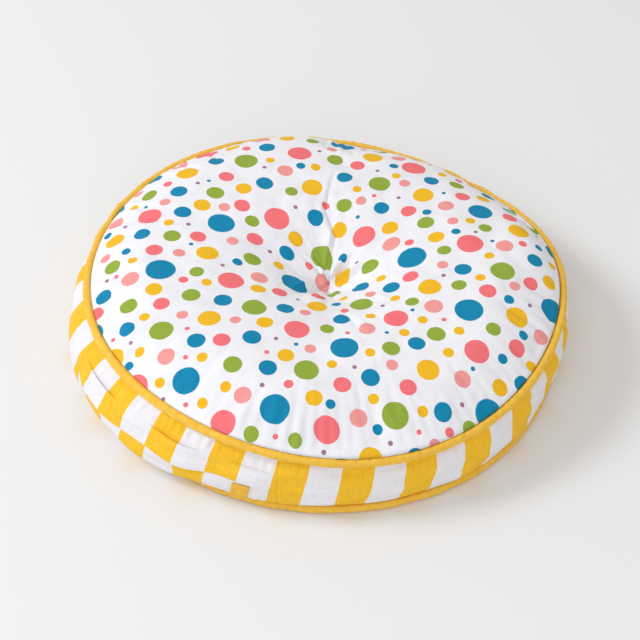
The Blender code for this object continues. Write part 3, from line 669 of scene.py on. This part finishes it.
ZIP_COLUMNS = 300
LAP_ROWS = 34
straight = np.linspace(ZIP_START, ZIP_END, ZIP_COLUMNS)[None, :]
turn = straight
share = np.linspace(1 - edge_share, LAP_EDGE, LAP_ROWS)[:, None]
cloth = share + 0.0 * turn
waver = 0.012 * ripple(turn, 0.0, 0.12, 1.0, 62, 8)
waver = waver - 0.035 * np.exp(-(((along_placket(turn) - 0.05) / 0.035) ** 2))
hang = np.clip((1 - share) / (1 - LAP_EDGE), 0, 1)
share = share + waver * hang**2
stand = lap_stand(turn) * np.sin(hang * math.pi / 2) ** 1.5
face = side_radius(share) - creases(before_twist(turn, share), share, 51) + stand
fold = np.linspace(0, math.pi, 7)[1:, None]
fold_reach = face[-1:] - LAP_LAYERS * (1 - np.cos(fold))
fold_share = share[-1:] - LAP_LAYERS / BAND_HEIGHT * np.sin(fold)
up = np.linspace(0.03, 1, 9)[:, None]
inner_end = (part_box("zip_slider")[1].z + 0.0095 - BOTTOM_SEAM) / BAND_HEIGHT
inner_share = fold_share[-1:] + (inner_end - fold_share[-1:]) * up
inner_reach = fold_reach[-1:] - 0.0005 * up
allowance = allowance_radius + 0.0 * turn
reach = np.r_[allowance, face, fold_reach, inner_reach]
share = np.r_[np.full_like(allowance, 1 - edge_share), share, fold_share, inner_share]
cloth = np.r_[cloth, np.repeat(cloth[-1:], 6, 0) - fold * 0.005, cloth[-1:] + 0.03 + 0.3 * up + 0.0 * turn]
cloth = np.r_[np.full_like(allowance, 1.0), cloth]
turn = before_twist(turn, share)
rows, flat = placed(turn, reach, share), stripes_of(turn, cloth)
lap = surface("placket_lap", rows, flat, closed_along=False, outward=-1)
thicken(lap)
lap.data.materials.append(striped)
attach(lap, "cushion")
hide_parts("zip_lap")
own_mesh(lap)


def under_face(turn, share, flush=1.0):
    """Radius of the under strip's face, set back by a share of its whole setback."""
    away = UNDER_SETBACK * np.clip(share / LAP_EDGE, 0, 1) ** 1.4 * flush
    return side_radius(share) - creases(turn, share, 51) * np.clip((UNDER_EDGE - share) / 0.2, 0, 1) - away


share = np.linspace(edge_share, UNDER_EDGE, 26)[:, None]
turn = before_twist(straight, share)
flush = np.clip(np.minimum(along_placket(straight), 1 - along_placket(straight)) / 0.03, 0.25, 1)
end_fold = np.exp(-(((turn - math.radians(256.3)) * SEAM_RADIUS / 0.0035) ** 2))
face = under_face(turn, share, flush) + 0.0012 * end_fold * np.sin(math.pi * share / UNDER_EDGE)
share = share + 0.0 * turn
fold_reach = face[-1:] - LAP_LAYERS * (1 - np.cos(fold))
fold_share = share[-1:] + LAP_LAYERS / BAND_HEIGHT * np.sin(fold) * 0.6
down = np.linspace(0.03, 1, 8)[:, None]
inner_share = fold_share[-1:] - 0.12 * down
inner_reach = fold_reach[-1:] - 0.0004 * down
cloth = np.r_[share, share[-1:] + fold * 0.005, share[-1:] + 0.02 - 0.12 * down]
reach = np.r_[allowance, face, fold_reach, inner_reach]
share = np.r_[np.full_like(allowance, edge_share), share, fold_share, inner_share]
cloth = np.r_[np.full_like(allowance, 0.0), cloth]
turn = before_twist(straight, share)
pieced = np.where(turn < UNDER_JOIN, STRIPE, 0.0)
rows, flat = placed(turn, reach, share), stripes_of(turn, cloth, pieced)
under = surface("placket_under_strip", rows, flat, closed_along=False)
thicken(under)
under.data.materials.append(striped)
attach(under, "cushion")
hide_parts("zip_underlap")

# Placket tab: a small folded patch of the plain yellow canvas, sewn over the closed end of the opening with
# a box of stitches so that the seam can't tear. The stitches are yellow polyester thread, 2.5 mm long.
TAB_START = math.radians(251.0)
TAB_END = math.radians(254.9)
TAB_LOW = 0.10
TAB_HIGH = 0.44
STITCH = 0.0024
STITCH_RADIUS = 0.00028
STITCH_INSET = 0.003
tab_turn = np.linspace(TAB_START, TAB_END, 40)[None, :]
tab_share = np.linspace(TAB_LOW, TAB_HIGH, 44)[:, None]
rim_x = np.minimum(tab_turn - TAB_START, TAB_END - tab_turn) * SEAM_RADIUS
rim_y = np.minimum(tab_share - TAB_LOW, TAB_HIGH - tab_share) * BAND_HEIGHT
rim = np.minimum(rim_x, rim_y)
puff = 0.0013 + 0.0007 * np.sqrt(np.clip(rim / 0.0015, 0, 1))
puff = puff - 0.0004 * np.exp(-(((rim - STITCH_INSET) / 0.0007) ** 2))
rows = placed(tab_turn, under_face(tab_turn, tab_share) + puff, tab_share)
tab = surface("placket_tab", rows, stripes_of(tab_turn, tab_share), closed_along=False)
thicken(tab, 0.0011)
tab.data.materials.append(plain_cotton("dyed_cotton_canvas", "E9B236", "F5C44A", 0.0))
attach(tab, "cushion")
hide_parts("placket_end_patch")


def sewn(name, ends):
    """Stitches as slim spindles, one for each pair of end points, eight-sided and closed at both tips."""
    starts, stops = ends[:, 0], ends[:, 1]
    along = stops - starts
    long = np.linalg.norm(along, axis=1, keepdims=True)
    along = along / long
    side = np.cross(along, (0.0, 0.0, 1.0)) + (0.0, 0.0, 1e-6)
    side = np.where(np.linalg.norm(side, axis=1, keepdims=True) < 1e-3, (1.0, 0.0, 0.0), side)
    side = side / np.linalg.norm(side, axis=1, keepdims=True)
    other = np.cross(along, side)
    step = np.linspace(0, 1, 6)
    thick = STITCH_RADIUS * np.sin(np.pi * step) ** 0.5
    spin = np.arange(8)[:, None] * math.tau / 8
    ring = side[:, None, None] * np.cos(spin) + other[:, None, None] * np.sin(spin)
    points = starts[:, None, None] + (along * long)[:, None, None] * step[:, None, None]
    points = points + ring * thick[:, None, None]
    one = np.arange(5)[:, None] * 8 + np.arange(8)[None, :]
    ahead = np.arange(5)[:, None] * 8 + (np.arange(8)[None, :] + 1) % 8
    quads = np.stack((one, ahead, ahead + 8, one + 8), -1).reshape(-1, 4)
    faces = (quads[None] + (np.arange(len(ends)) * 48)[:, None, None]).reshape(-1, 4)
    mesh = bpy.data.meshes.new(name)
    mesh.from_pydata(points.reshape(-1, 3).tolist(), [], faces.tolist())
    mesh.shade_smooth()
    made = bpy.data.objects.new(name, mesh)
    bpy.context.scene.collection.objects.link(made)
    return weld(made)


left, right = TAB_START + STITCH_INSET / SEAM_RADIUS, TAB_END - STITCH_INSET / SEAM_RADIUS
low, high = TAB_LOW + STITCH_INSET / BAND_HEIGHT, TAB_HIGH - STITCH_INSET / BAND_HEIGHT
corners = ((left, low), (right, low), (right, high), (left, high))
stitch_ends = []
for n in range(4):
    a, b = np.array(corners[n]), np.array(corners[(n + 1) % 4])
    length = math.hypot((b - a)[0] * SEAM_RADIUS, (b - a)[1] * BAND_HEIGHT)
    count = max(1, round(length / (STITCH * 1.25)))
    for k in range(count):
        stitch_ends.append([a + (b - a) * (k + 0.1) / count, a + (b - a) * (k + 0.9) / count])
ends = np.array(stitch_ends)
turn, share = ends[..., 0], ends[..., 1]
tab_stitches = sewn("placket_tab_stitches", placed(turn, under_face(turn, share) + 0.0018, share))

# Spun polyester thread, dyed yellow: a slight shine along the twist, which is drawn at 0.6 mm.
tree, shader, yellow_thread = blank("spun_polyester_thread")
place = add(tree, "TexCoord").outputs["Object"]
twist = add(tree, "TexNoise", ins={"Vector": place, "Scale": 1600.0, "Detail": 2.0})
tint = add(tree, "ValToRGB", ins={0: twist.outputs[0]}, ramp=((0.0, "F0BC4E"), (1.0, "FFDC86")))
bump = add(tree, "Bump", ins={"Height": twist.outputs[0], "Strength": 0.5, "Distance": 0.0002})
put(tree, shader, {"Base Color": tint.outputs[0], "Normal": bump.outputs[0], "Roughness": 0.5})
tab_stitches.data.materials.append(yellow_thread)
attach(tab_stitches, "cushion")

# Zip: two tapes of woven polyester twill with a nylon coil sewn along the edge of each. The coils are bent
# monofilament, one loop every 2.5 mm. Zip, slider and pull lie on the circle that the slider turns on.
PIN_STANDOFF = 0.00335
pin = frame["joints"][1]["pos_m"]
CHAIN_RADIUS = math.hypot(pin[0], pin[1]) - PIN_STANDOFF
CHAIN_LEVEL = pin[2]
COIL_PITCH = 0.0025
WIRE_RADIUS = 0.00034
COIL_INNER = 0.0007
COIL_OUTER = 0.0030
CHAIN_HALF = 0.0012

# Polyester twill tape, undyed white: diagonal ribs 1 mm apart and a faint shine.
tree, shader, twill = blank("woven_polyester_twill_tape")
cut = add(tree, "UVMap", {"uv_map": "cut"}).outputs[0]
slanted = {"Vector": cut, "Rotation": (0, 0, math.pi / 4), "Scale": [math.tau / 0.001] * 3}
ribs = add(tree, "Mapping", ins=slanted)
parts = add(tree, "SeparateXYZ", ins={0: ribs.outputs[0]})
rib = add(tree, "Math", {"operation": "SINE"}, {0: parts.outputs["X"]})
uneven = add(tree, "TexNoise", ins={"Vector": cut, "Scale": 300.0})
tint = add(tree, "ValToRGB", ins={0: uneven.outputs[0]}, ramp=((0.0, "DAD8D2"), (1.0, "F1F0EC")))
bump = add(tree, "Bump", ins={"Height": rib.outputs[0], "Strength": 0.5, "Distance": 0.0002})
put(tree, shader, {"Base Color": tint.outputs[0], "Normal": bump.outputs[0], "Roughness": 0.7})

# Nylon monofilament, extruded and heat-set: milky, smooth and slightly shiny, with faint draw marks.
tree, shader, nylon = blank("extruded_nylon_monofilament")
place = add(tree, "TexCoord").outputs["Object"]
drawn = add(tree, "TexNoise", ins={"Vector": place, "Scale": 700.0, "Detail": 2.0})
tint = add(tree, "ValToRGB", ins={0: drawn.outputs[0]}, ramp=((0.0, "D4D1C8"), (1.0, "EFEDE6")))
wear = add(tree, "MapRange", ins={"Value": drawn.outputs[0], "To Min": 0.3, "To Max": 0.5})
put(tree, shader, {"Base Color": tint.outputs[0], "Roughness": wear.outputs[0]})
put(tree, shader, {"Subsurface Weight": 0.1, "Subsurface Radius": (0.001, 0.001, 0.001)})

zip_turn = np.linspace(ZIP_START + 0.0061, ZIP_END - 0.0061, 160)[None, :]
for side, sign in (("upper", 1), ("lower", -1)):
    low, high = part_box("zip_tape_" + side)
    height = np.linspace(low.z, high.z, 12)[:, None] + 0.0 * zip_turn
    wavy = 0.00012 * np.sin(zip_turn * 260) * abs(height - CHAIN_LEVEL) / 0.016
    rows = turned(CHAIN_RADIUS + 0.0003 + wavy, zip_turn, height)
    flat = np.stack(np.broadcast_arrays(zip_turn * CHAIN_RADIUS, height), -1)
    tape = surface("zip_tape_woven_" + side, rows, flat, closed_along=False)
    thicken(tape, 0.0006)
    tape.data.materials.append(twill)
    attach(tape, "cushion")
    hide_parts("zip_tape_" + side)

    start, end = ZIP_START + 0.0157, ZIP_END - 0.0157
    loops = round((end - start) * CHAIN_RADIUS / COIL_PITCH)
    steps = loops * 10 + 1
    phase = np.linspace(0, loops * math.tau, steps)
    turn = start + (end - start) * np.linspace(0, 1, steps)
    middle = (COIL_INNER + COIL_OUTER) / 2
    swing = (COIL_OUTER - COIL_INNER) / 2 - WIRE_RADIUS
    away = CHAIN_RADIUS + (CHAIN_HALF - WIRE_RADIUS) * np.sin(phase)
    level = CHAIN_LEVEL + sign * (middle - swing * np.cos(phase))
    line = turned(away, turn, level)
    heading = np.gradient(line, axis=0)
    heading /= np.linalg.norm(heading, axis=1, keepdims=True)
    across = np.cross(heading, np.stack((-np.sin(turn), np.cos(turn), 0 * turn), -1))
    across /= np.linalg.norm(across, axis=1, keepdims=True)
    other = np.cross(heading, across)
    spin = np.arange(6)[:, None] * math.tau / 6
    thick = np.full((steps, 1, 1), WIRE_RADIUS)
    thick[[0, -1]] = 0
    rows = line[:, None] + thick * (across[:, None] * np.cos(spin) + other[:, None] * np.sin(spin))
    coil = weld(surface("zip_coil_wound_" + side, rows, outward=1))
    coil.data.materials.append(nylon)
    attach(coil, "cushion")
    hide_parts("zip_coil_" + side)

# Slider and pull are zinc, die-cast, tumbled and nickel-plated: a soft grey shine, a fine pebbled skin from
# the mould, and rubbed corners. The two end stops are moulded nylon like the coils.
tree, shader, plated = blank("nickel_plated_zinc_die_cast")
place = add(tree, "TexCoord").outputs["Object"]
skin = add(tree, "TexNoise", ins={"Vector": place, "Scale": 1500.0, "Detail": 3.0})
rubbed = add(tree, "TexNoise", ins={"Vector": place, "Scale": 260.0, "Detail": 4.0})
tint = add(tree, "ValToRGB", ins={0: rubbed.outputs[0]}, ramp=((0.0, "A9A6A0"), (1.0, "D6D3CC")))
wear = add(tree, "MapRange", ins={"Value": rubbed.outputs[0], "To Min": 0.22, "To Max": 0.46})
bump = add(tree, "Bump", ins={"Height": skin.outputs[0], "Strength": 0.25, "Distance": 0.0001})
put(tree, shader, {"Base Color": tint.outputs[0], "Normal": bump.outputs[0]})
put(tree, shader, {"Roughness": wear.outputs[0], "Metallic": 1.0})
for node in ("zip_slider", "zip_pull"):
    frame["nodes"][node].data.materials[0] = plated
for node in ("zip_stop_open_end", "zip_stop_closed_end"):
    frame["nodes"][node].data.materials[0] = nylon

# Top panel: a disc of the dotted canvas, cut wider than the seam and eased in, so it gathers at the rim,
# stands up in a steep crown and is drawn down in folds at the tuft. Its rim leans out over the piping at
# the front and sinks behind it at the back right. Pressure from the stuffing shapes the rest.
TOP_ROWS_STEP = 0.0034
RIM_LEAN = 0.0072
RIM_REACH = 0.0035
RIM_SINK = 0.0075
SINK_REACH = 0.012
GATHER_REACH = 0.030
FOLDS = (  # each crease, away from the tuft, in millimetres from the middle, with its depth and half width
    (((0, -10), (1, 12), (9, 52), (-3, 90), (0, 112), (10, 165)), 0.0056, 0.0028),
    (((-4, -11), (-22, -4), (-48, 6)), 0.0042, 0.0032),
    (((5, -11), (20, -8), (42, 4)), 0.0036, 0.0030),
    (((3, -16), (8, -40), (12, -78)), 0.0026, 0.0034),
    (((-4, -16), (-26, -34), (-48, -40)), 0.0024, 0.0036),
    (((5, -8), (22, 14), (36, 44)), 0.0022, 0.0036),
)
PRESSURE = 4.0
SPARE_CLOTH = 0.012
MOST_MOVE = 0.005


def fold_depth(points):
    """How far each crease draws the cloth down: sharp in its middle as an exponential of the distance from
    its line, with a low roll of cloth along one side, and fading towards its far end."""
    total = np.zeros(points.shape[:-1])
    for line, depth, width in FOLDS:
        line = np.array(line) / 1000
        lengths = np.hypot(*np.diff(line, axis=0).T)
        best, place, side = np.full(total.shape, 9.0), np.zeros(total.shape), np.zeros(total.shape)
        done = 0.0
        for a, b, length in zip(line[:-1], line[1:], lengths):
            along = (b - a) / length
            offset = points - a
            t = (offset @ along).clip(0, length)
            gap = offset - t[..., None] * along
            far = np.hypot(gap[..., 0], gap[..., 1])
            left = along[0] * offset[..., 1] - along[1] * offset[..., 0]
            nearer = far < best
            best = np.where(nearer, far, best)
            place = np.where(nearer, done + t, place)
            side = np.where(nearer, left, side)
            done += length
        fade = np.clip(1 - place / done, 0, 1) ** 0.6
        total += depth * fade * np.exp(-best / width)
        beside = ((side - 1.9 * width) / (1.3 * width)) ** 2 + (np.abs(best - np.abs(side)) / width) ** 2
        total -= 0.42 * depth * fade * np.exp(-beside)
    return total


def blown(made, held, pressure, spare, most):
    """Runs a cloth simulation on the piece for 20 frames with the stuffing's pressure behind it, its held
    points pinned, its cloth a little larger than its shape; keeps moves within most, which may differ from
    point to point, and applies them."""
    mesh = made.data
    before = np.empty(len(mesh.vertices) * 3)
    mesh.vertices.foreach_get("co", before)
    before = before.reshape(-1, 3)
    group = made.vertex_groups.new(name="held")
    for level in np.unique(held):
        group.add(np.flatnonzero(held == level).tolist(), float(level), "REPLACE")
    cloth = made.modifiers.new("stuffing", "CLOTH")
    rules = cloth.settings
    rules.quality, rules.mass = 5, 0.25
    rules.tension_stiffness, rules.compression_stiffness, rules.shear_stiffness = 18, 18, 6
    rules.bending_stiffness = 0.35
    rules.use_pressure, rules.uniform_pressure_force = True, pressure
    rules.vertex_group_mass = "held"
    rules.pin_stiffness = 1.0
    rules.shrink_min = -spare
    rules.effector_weights.gravity = 0
    cloth.collision_settings.use_collision = False
    cloth.point_cache.frame_start, cloth.point_cache.frame_end = 1, 20
    for step in range(1, 21):
        bpy.context.scene.frame_set(step)
    final = made.evaluated_get(bpy.context.evaluated_depsgraph_get()).data
    after = np.empty(len(final.vertices) * 3)
    final.vertices.foreach_get("co", after)
    made.modifiers.remove(cloth)
    made.vertex_groups.remove(group)
    bpy.context.scene.frame_set(1)
    move = after.reshape(-1, 3) - before
    far = np.linalg.norm(move, axis=1, keepdims=True)
    move *= most * np.tanh(far / most) / np.maximum(far, 1e-9)
    mesh.vertices.foreach_set("co", (before + move).ravel())
    mesh.update()


def panel_height(radius):
    """Height of the panel at a radius, with its stitched edge lifted a little beside the piping."""
    return TOP_SEAM + 0.0022 * (radius / PANEL_RADIUS) ** 8 + crown(radius)


fine = np.linspace(PANEL_RADIUS, 0, 4000)
height = panel_height(fine)
walk = np.hypot(np.gradient(fine), np.gradient(height)) / (TOP_ROWS_STEP * np.clip(fine / 0.030, 0.28, 1))
count = int(walk.sum())
radius = np.interp(np.linspace(0, walk.sum(), count), np.cumsum(walk), fine)
radius[-1] = 0
height = panel_height(radius)
from_rim = np.cumsum(np.r_[0, np.hypot(np.diff(radius), np.diff(height))])[:, None]
turn = np.arange(PANEL_COLUMNS) * math.tau / PANEL_COLUMNS
lean = RIM_LEAN * lobe(turn, 262, 80) * from_rim / RIM_REACH * np.exp(1 - from_rim / RIM_REACH)
sink = RIM_SINK * lobe(turn, 40, 40) * from_rim / SINK_REACH * np.exp(1 - from_rim / SINK_REACH)
leant, sunk = radius[:, None] + lean, height[:, None] - sink
clear = np.maximum(1, (PIPING_RADIUS + 0.0004) / np.hypot(leant - SEAM_RADIUS, sunk - TOP_SEAM))
leant, sunk = SEAM_RADIUS + (leant - SEAM_RADIUS) * clear, TOP_SEAM + (sunk - TOP_SEAM) * clear
allowance = np.array([[SEAM_RADIUS - ALLOWANCE], [PANEL_RADIUS - 0.0012]]) + 0.0 * turn
leant, sunk = np.r_[allowance, leant], np.r_[np.full_like(allowance, TOP_SEAM + ALLOWANCE_LEVEL), sunk]
rows = settle(around(leant, sunk, PANEL_COLUMNS))
steps = np.hypot(np.diff(leant, axis=0), np.diff(sunk, axis=0))
flat_radius = np.r_[np.cumsum(steps[::-1], axis=0)[::-1], 0 * steps[:1]]
turn = np.arctan2(rows[..., 1], rows[..., 0])
radius, from_rim = np.r_[allowance[:, 0], radius], np.r_[[[0.0]] * 2, from_rim]
free = np.clip(from_rim / 0.012, 0, 1) * np.clip(radius[:, None] / 0.012 - 0.4, 0, 1)
gathered = np.clip(0.55 + 0.7 * ripple(turn, 0.0, 0.22, 1.0, 71, 8), 0.1, 1.2)
gathers = 0.0013 * gathered * ripple(turn, 0.0, 0.021, 1.0, 72)
gathers = gathers * np.exp(-((from_rim / GATHER_REACH) ** 1.3)) * np.clip((from_rim - 0.005) / 0.010, 0, 1)
pleats = 0.0020 * ripple(turn, 0.0, 0.24, 1.0, 73, 9) * np.exp(-(((radius[:, None] - 0.024) / 0.014) ** 2))
sway = 0.0010 * ripple(turn, radius[:, None], 0.30, 0.09, 74) * free
sway = sway + 0.00035 * ripple(turn, radius[:, None], 0.10, 0.035, 75) * free
steep = np.exp(-((from_rim / 0.020) ** 2))
rows[..., 2] += gathers * (1 - steep) + pleats + sway - fold_depth(rows[..., :2]) * free
rows[..., :2] *= 1 + (gathers * steep / np.hypot(rows[..., 0], rows[..., 1]).clip(0.1, None))[..., None]
flat = around(flat_radius, flat_radius * 0, PANEL_COLUMNS)[..., :2]
flat = np.concatenate((flat, flat[:, :1]), 1)
top = weld(surface("cover_top_panel", rows, flat))
places = np.empty(len(top.data.vertices) * 3)
top.data.vertices.foreach_get("co", places)
places = places.reshape(-1, 3)
x, y = places[:, 0], places[:, 1]
from_tuft, out = np.hypot(x, y + TUFT_LEAN), np.hypot(x, y)
held = np.where((out > PANEL_RADIUS - 0.004) | (from_tuft < 0.010), 1.0, 0.02)
firm = np.clip((out - 0.17) / 0.06, 0, 1) * lobe(np.arctan2(y, x), 50, 60)  # the sunk part moves least
blown(top, held, PRESSURE, SPARE_CLOTH, MOST_MOVE * (1 - 0.85 * firm[:, None]))
print_dots(top, 3)
thicken(top)
top.data.materials.append(printed_cotton("printed_cotton_canvas", ("ECEEF5", "F5F7FD")))
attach(top, "cushion")
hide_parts("top_panel")

# Tuft: one loop of waxed linen twine through the whole cushion, drawn tight and knotted in the dimple under
# the base. Two plies, twisted to a turn every 3 mm.
TWINE_RADIUS = 0.0006
TWINE_HALF_SPACING = 0.0025
twine_low, twine_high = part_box("tuft_twine")
half_width, bend = TWINE_HALF_SPACING, 0.0010
bottom_line, top_line = twine_low.z + TWINE_RADIUS, twine_high.z - TWINE_RADIUS
arcs = []
for x_side, up, first in ((1, 1, 0), (-1, 1, 1), (-1, -1, 2), (1, -1, 3)):
    angle = math.pi / 2 * first + np.linspace(0, math.pi / 2, 6)
    centre = (x_side * (half_width - bend), (top_line if up > 0 else bottom_line) - up * bend)
    arcs.append(np.stack((centre[0] + bend * np.cos(angle), centre[1] + bend * np.sin(angle)), 1))
corner_line = np.concatenate(arcs)
closed = np.r_[corner_line, corner_line[:1]]
length = np.r_[0, np.cumsum(np.hypot(*np.diff(closed, axis=0).T))]
stop = np.linspace(0, length[-1], 421)[:-1]
line = np.stack([np.interp(stop, length, closed[:, n]) for n in (0, 1)], 1)
ahead = np.roll(line, -1, 0) - np.roll(line, 1, 0)
ahead /= np.hypot(*ahead.T)[:, None]
spin = np.arange(10) * math.tau / 10
twist = round(length[-1] / 0.003) * math.tau / len(line) * np.arange(len(line))
thick = TWINE_RADIUS * (0.78 + 0.22 * abs(np.cos(spin[:, None] - twist / 2)))
outward = np.stack((ahead[:, 1], -ahead[:, 0]), 1)
away = line + (thick * np.sin(spin)[:, None])[..., None] * outward
rows = np.stack((away[..., 0], thick * np.cos(spin)[:, None], away[..., 1]), -1)
twine = surface("tuft_twine_twisted", settle(rows), closed_across=True, outward=1)

# Waxed linen twine: warm off-white, fibres laid along the twist, a dull waxy shine.
tree, shader, waxed = blank("waxed_linen_twine")
place = add(tree, "TexCoord").outputs["Object"]
hair = add(tree, "TexNoise", ins={"Vector": place, "Scale": 1300.0, "Detail": 3.0})
tint = add(tree, "ValToRGB", ins={0: hair.outputs[0]}, ramp=((0.0, "CFC6B4"), (1.0, "F0EADC")))
bump = add(tree, "Bump", ins={"Height": hair.outputs[0], "Strength": 0.5, "Distance": 0.0002})
put(tree, shader, {"Base Color": tint.outputs[0], "Normal": bump.outputs[0], "Roughness": 0.55})
twine.data.materials.append(waxed)
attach(twine, "cushion")
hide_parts("tuft_twine")

knot_low, knot_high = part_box("tuft_knot")
knot_middle = (knot_low + knot_high) / 2
knot_radius = (knot_high.z - knot_low.z) / 2 - 0.0001
spin = np.arange(28) * math.tau / 28
wrap = np.linspace(0, math.pi, 25)
wound = 1 - 0.13 * abs(np.sin(3 * wrap[:, None] + spin[None, :]))
wound[[0, -1]] = 1
thick = knot_radius * np.sin(wrap)[:, None] ** 0.7 * wound
length = knot_middle.x - (knot_high.x - knot_low.x) / 2 * np.cos(wrap)[:, None]
rows = np.broadcast_arrays(length, knot_middle.y + thick * np.cos(spin), knot_middle.z + thick * np.sin(spin))
rows = np.stack(rows, -1)
knot = weld(surface("tuft_knot_wound", settle(rows), outward=-1))
knot.data.materials.append(waxed)
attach(knot, "cushion")
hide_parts("tuft_knot")

# Stage: a plain pale floor under soft studio light from the upper left, and the camera.
mesh = bpy.data.meshes.new("floor")
mesh.from_pydata([(-6, -6, 0), (6, -6, 0), (6, 6, 0), (-6, 6, 0)], [], [(0, 1, 2, 3)])
floor = bpy.data.objects.new("floor", mesh)
bpy.context.scene.collection.objects.link(floor)
floor.location.z = -0.0002
tree, shader, paper = blank("matt_white_background_paper")
put(tree, shader, {"Base Color": linear("ECEFF2"), "Roughness": 0.9, "Specular IOR Level": 0.2})
floor.data.materials.append(paper)

world = bpy.data.worlds.new("studio")
world.use_nodes = True
world.node_tree.nodes["Background"].inputs["Color"].default_value = linear("FAF5EF")
world.node_tree.nodes["Background"].inputs["Strength"].default_value = 0.69
bpy.context.scene.world = world
for name, place, size, power, tint in (
    ("key", (-3.2, 0.15, 2.95), 1.5, 80, "FAFBFF"),
    ("front_fill", (-0.4, -3.0, 1.9), 1.8, 22, "ECF2FF"),
):
    lamp = bpy.data.lights.new(name, "AREA")
    lamp.size, lamp.energy, lamp.color = size, power, linear(tint)[:3]
    light = bpy.data.objects.new(name, lamp)
    light.location = place
    light.rotation_euler = (Vector((0, 0, 0.05)) - Vector(place)).to_track_quat("-Z", "Y").to_euler()
    bpy.context.scene.collection.objects.link(light)

CAMERA_HEIGHT_ANGLE = math.radians(43.4)
CAMERA_DISTANCE = 2.3
CAMERA_TARGET = Vector((-0.0094, -0.030, 0.05))
lens = bpy.data.cameras.new("camera")
lens.lens, lens.sensor_width = 110.4, 36
camera = bpy.data.objects.new("camera", lens)
away = Vector((0, -math.cos(CAMERA_HEIGHT_ANGLE), math.sin(CAMERA_HEIGHT_ANGLE)))
camera.location = CAMERA_TARGET + CAMERA_DISTANCE * away
camera.rotation_euler = (-away).to_track_quat("-Z", "Y").to_euler()
bpy.context.scene.collection.objects.link(camera)
bpy.context.scene.camera = camera
bpy.context.scene.view_settings.view_transform = "Standard"
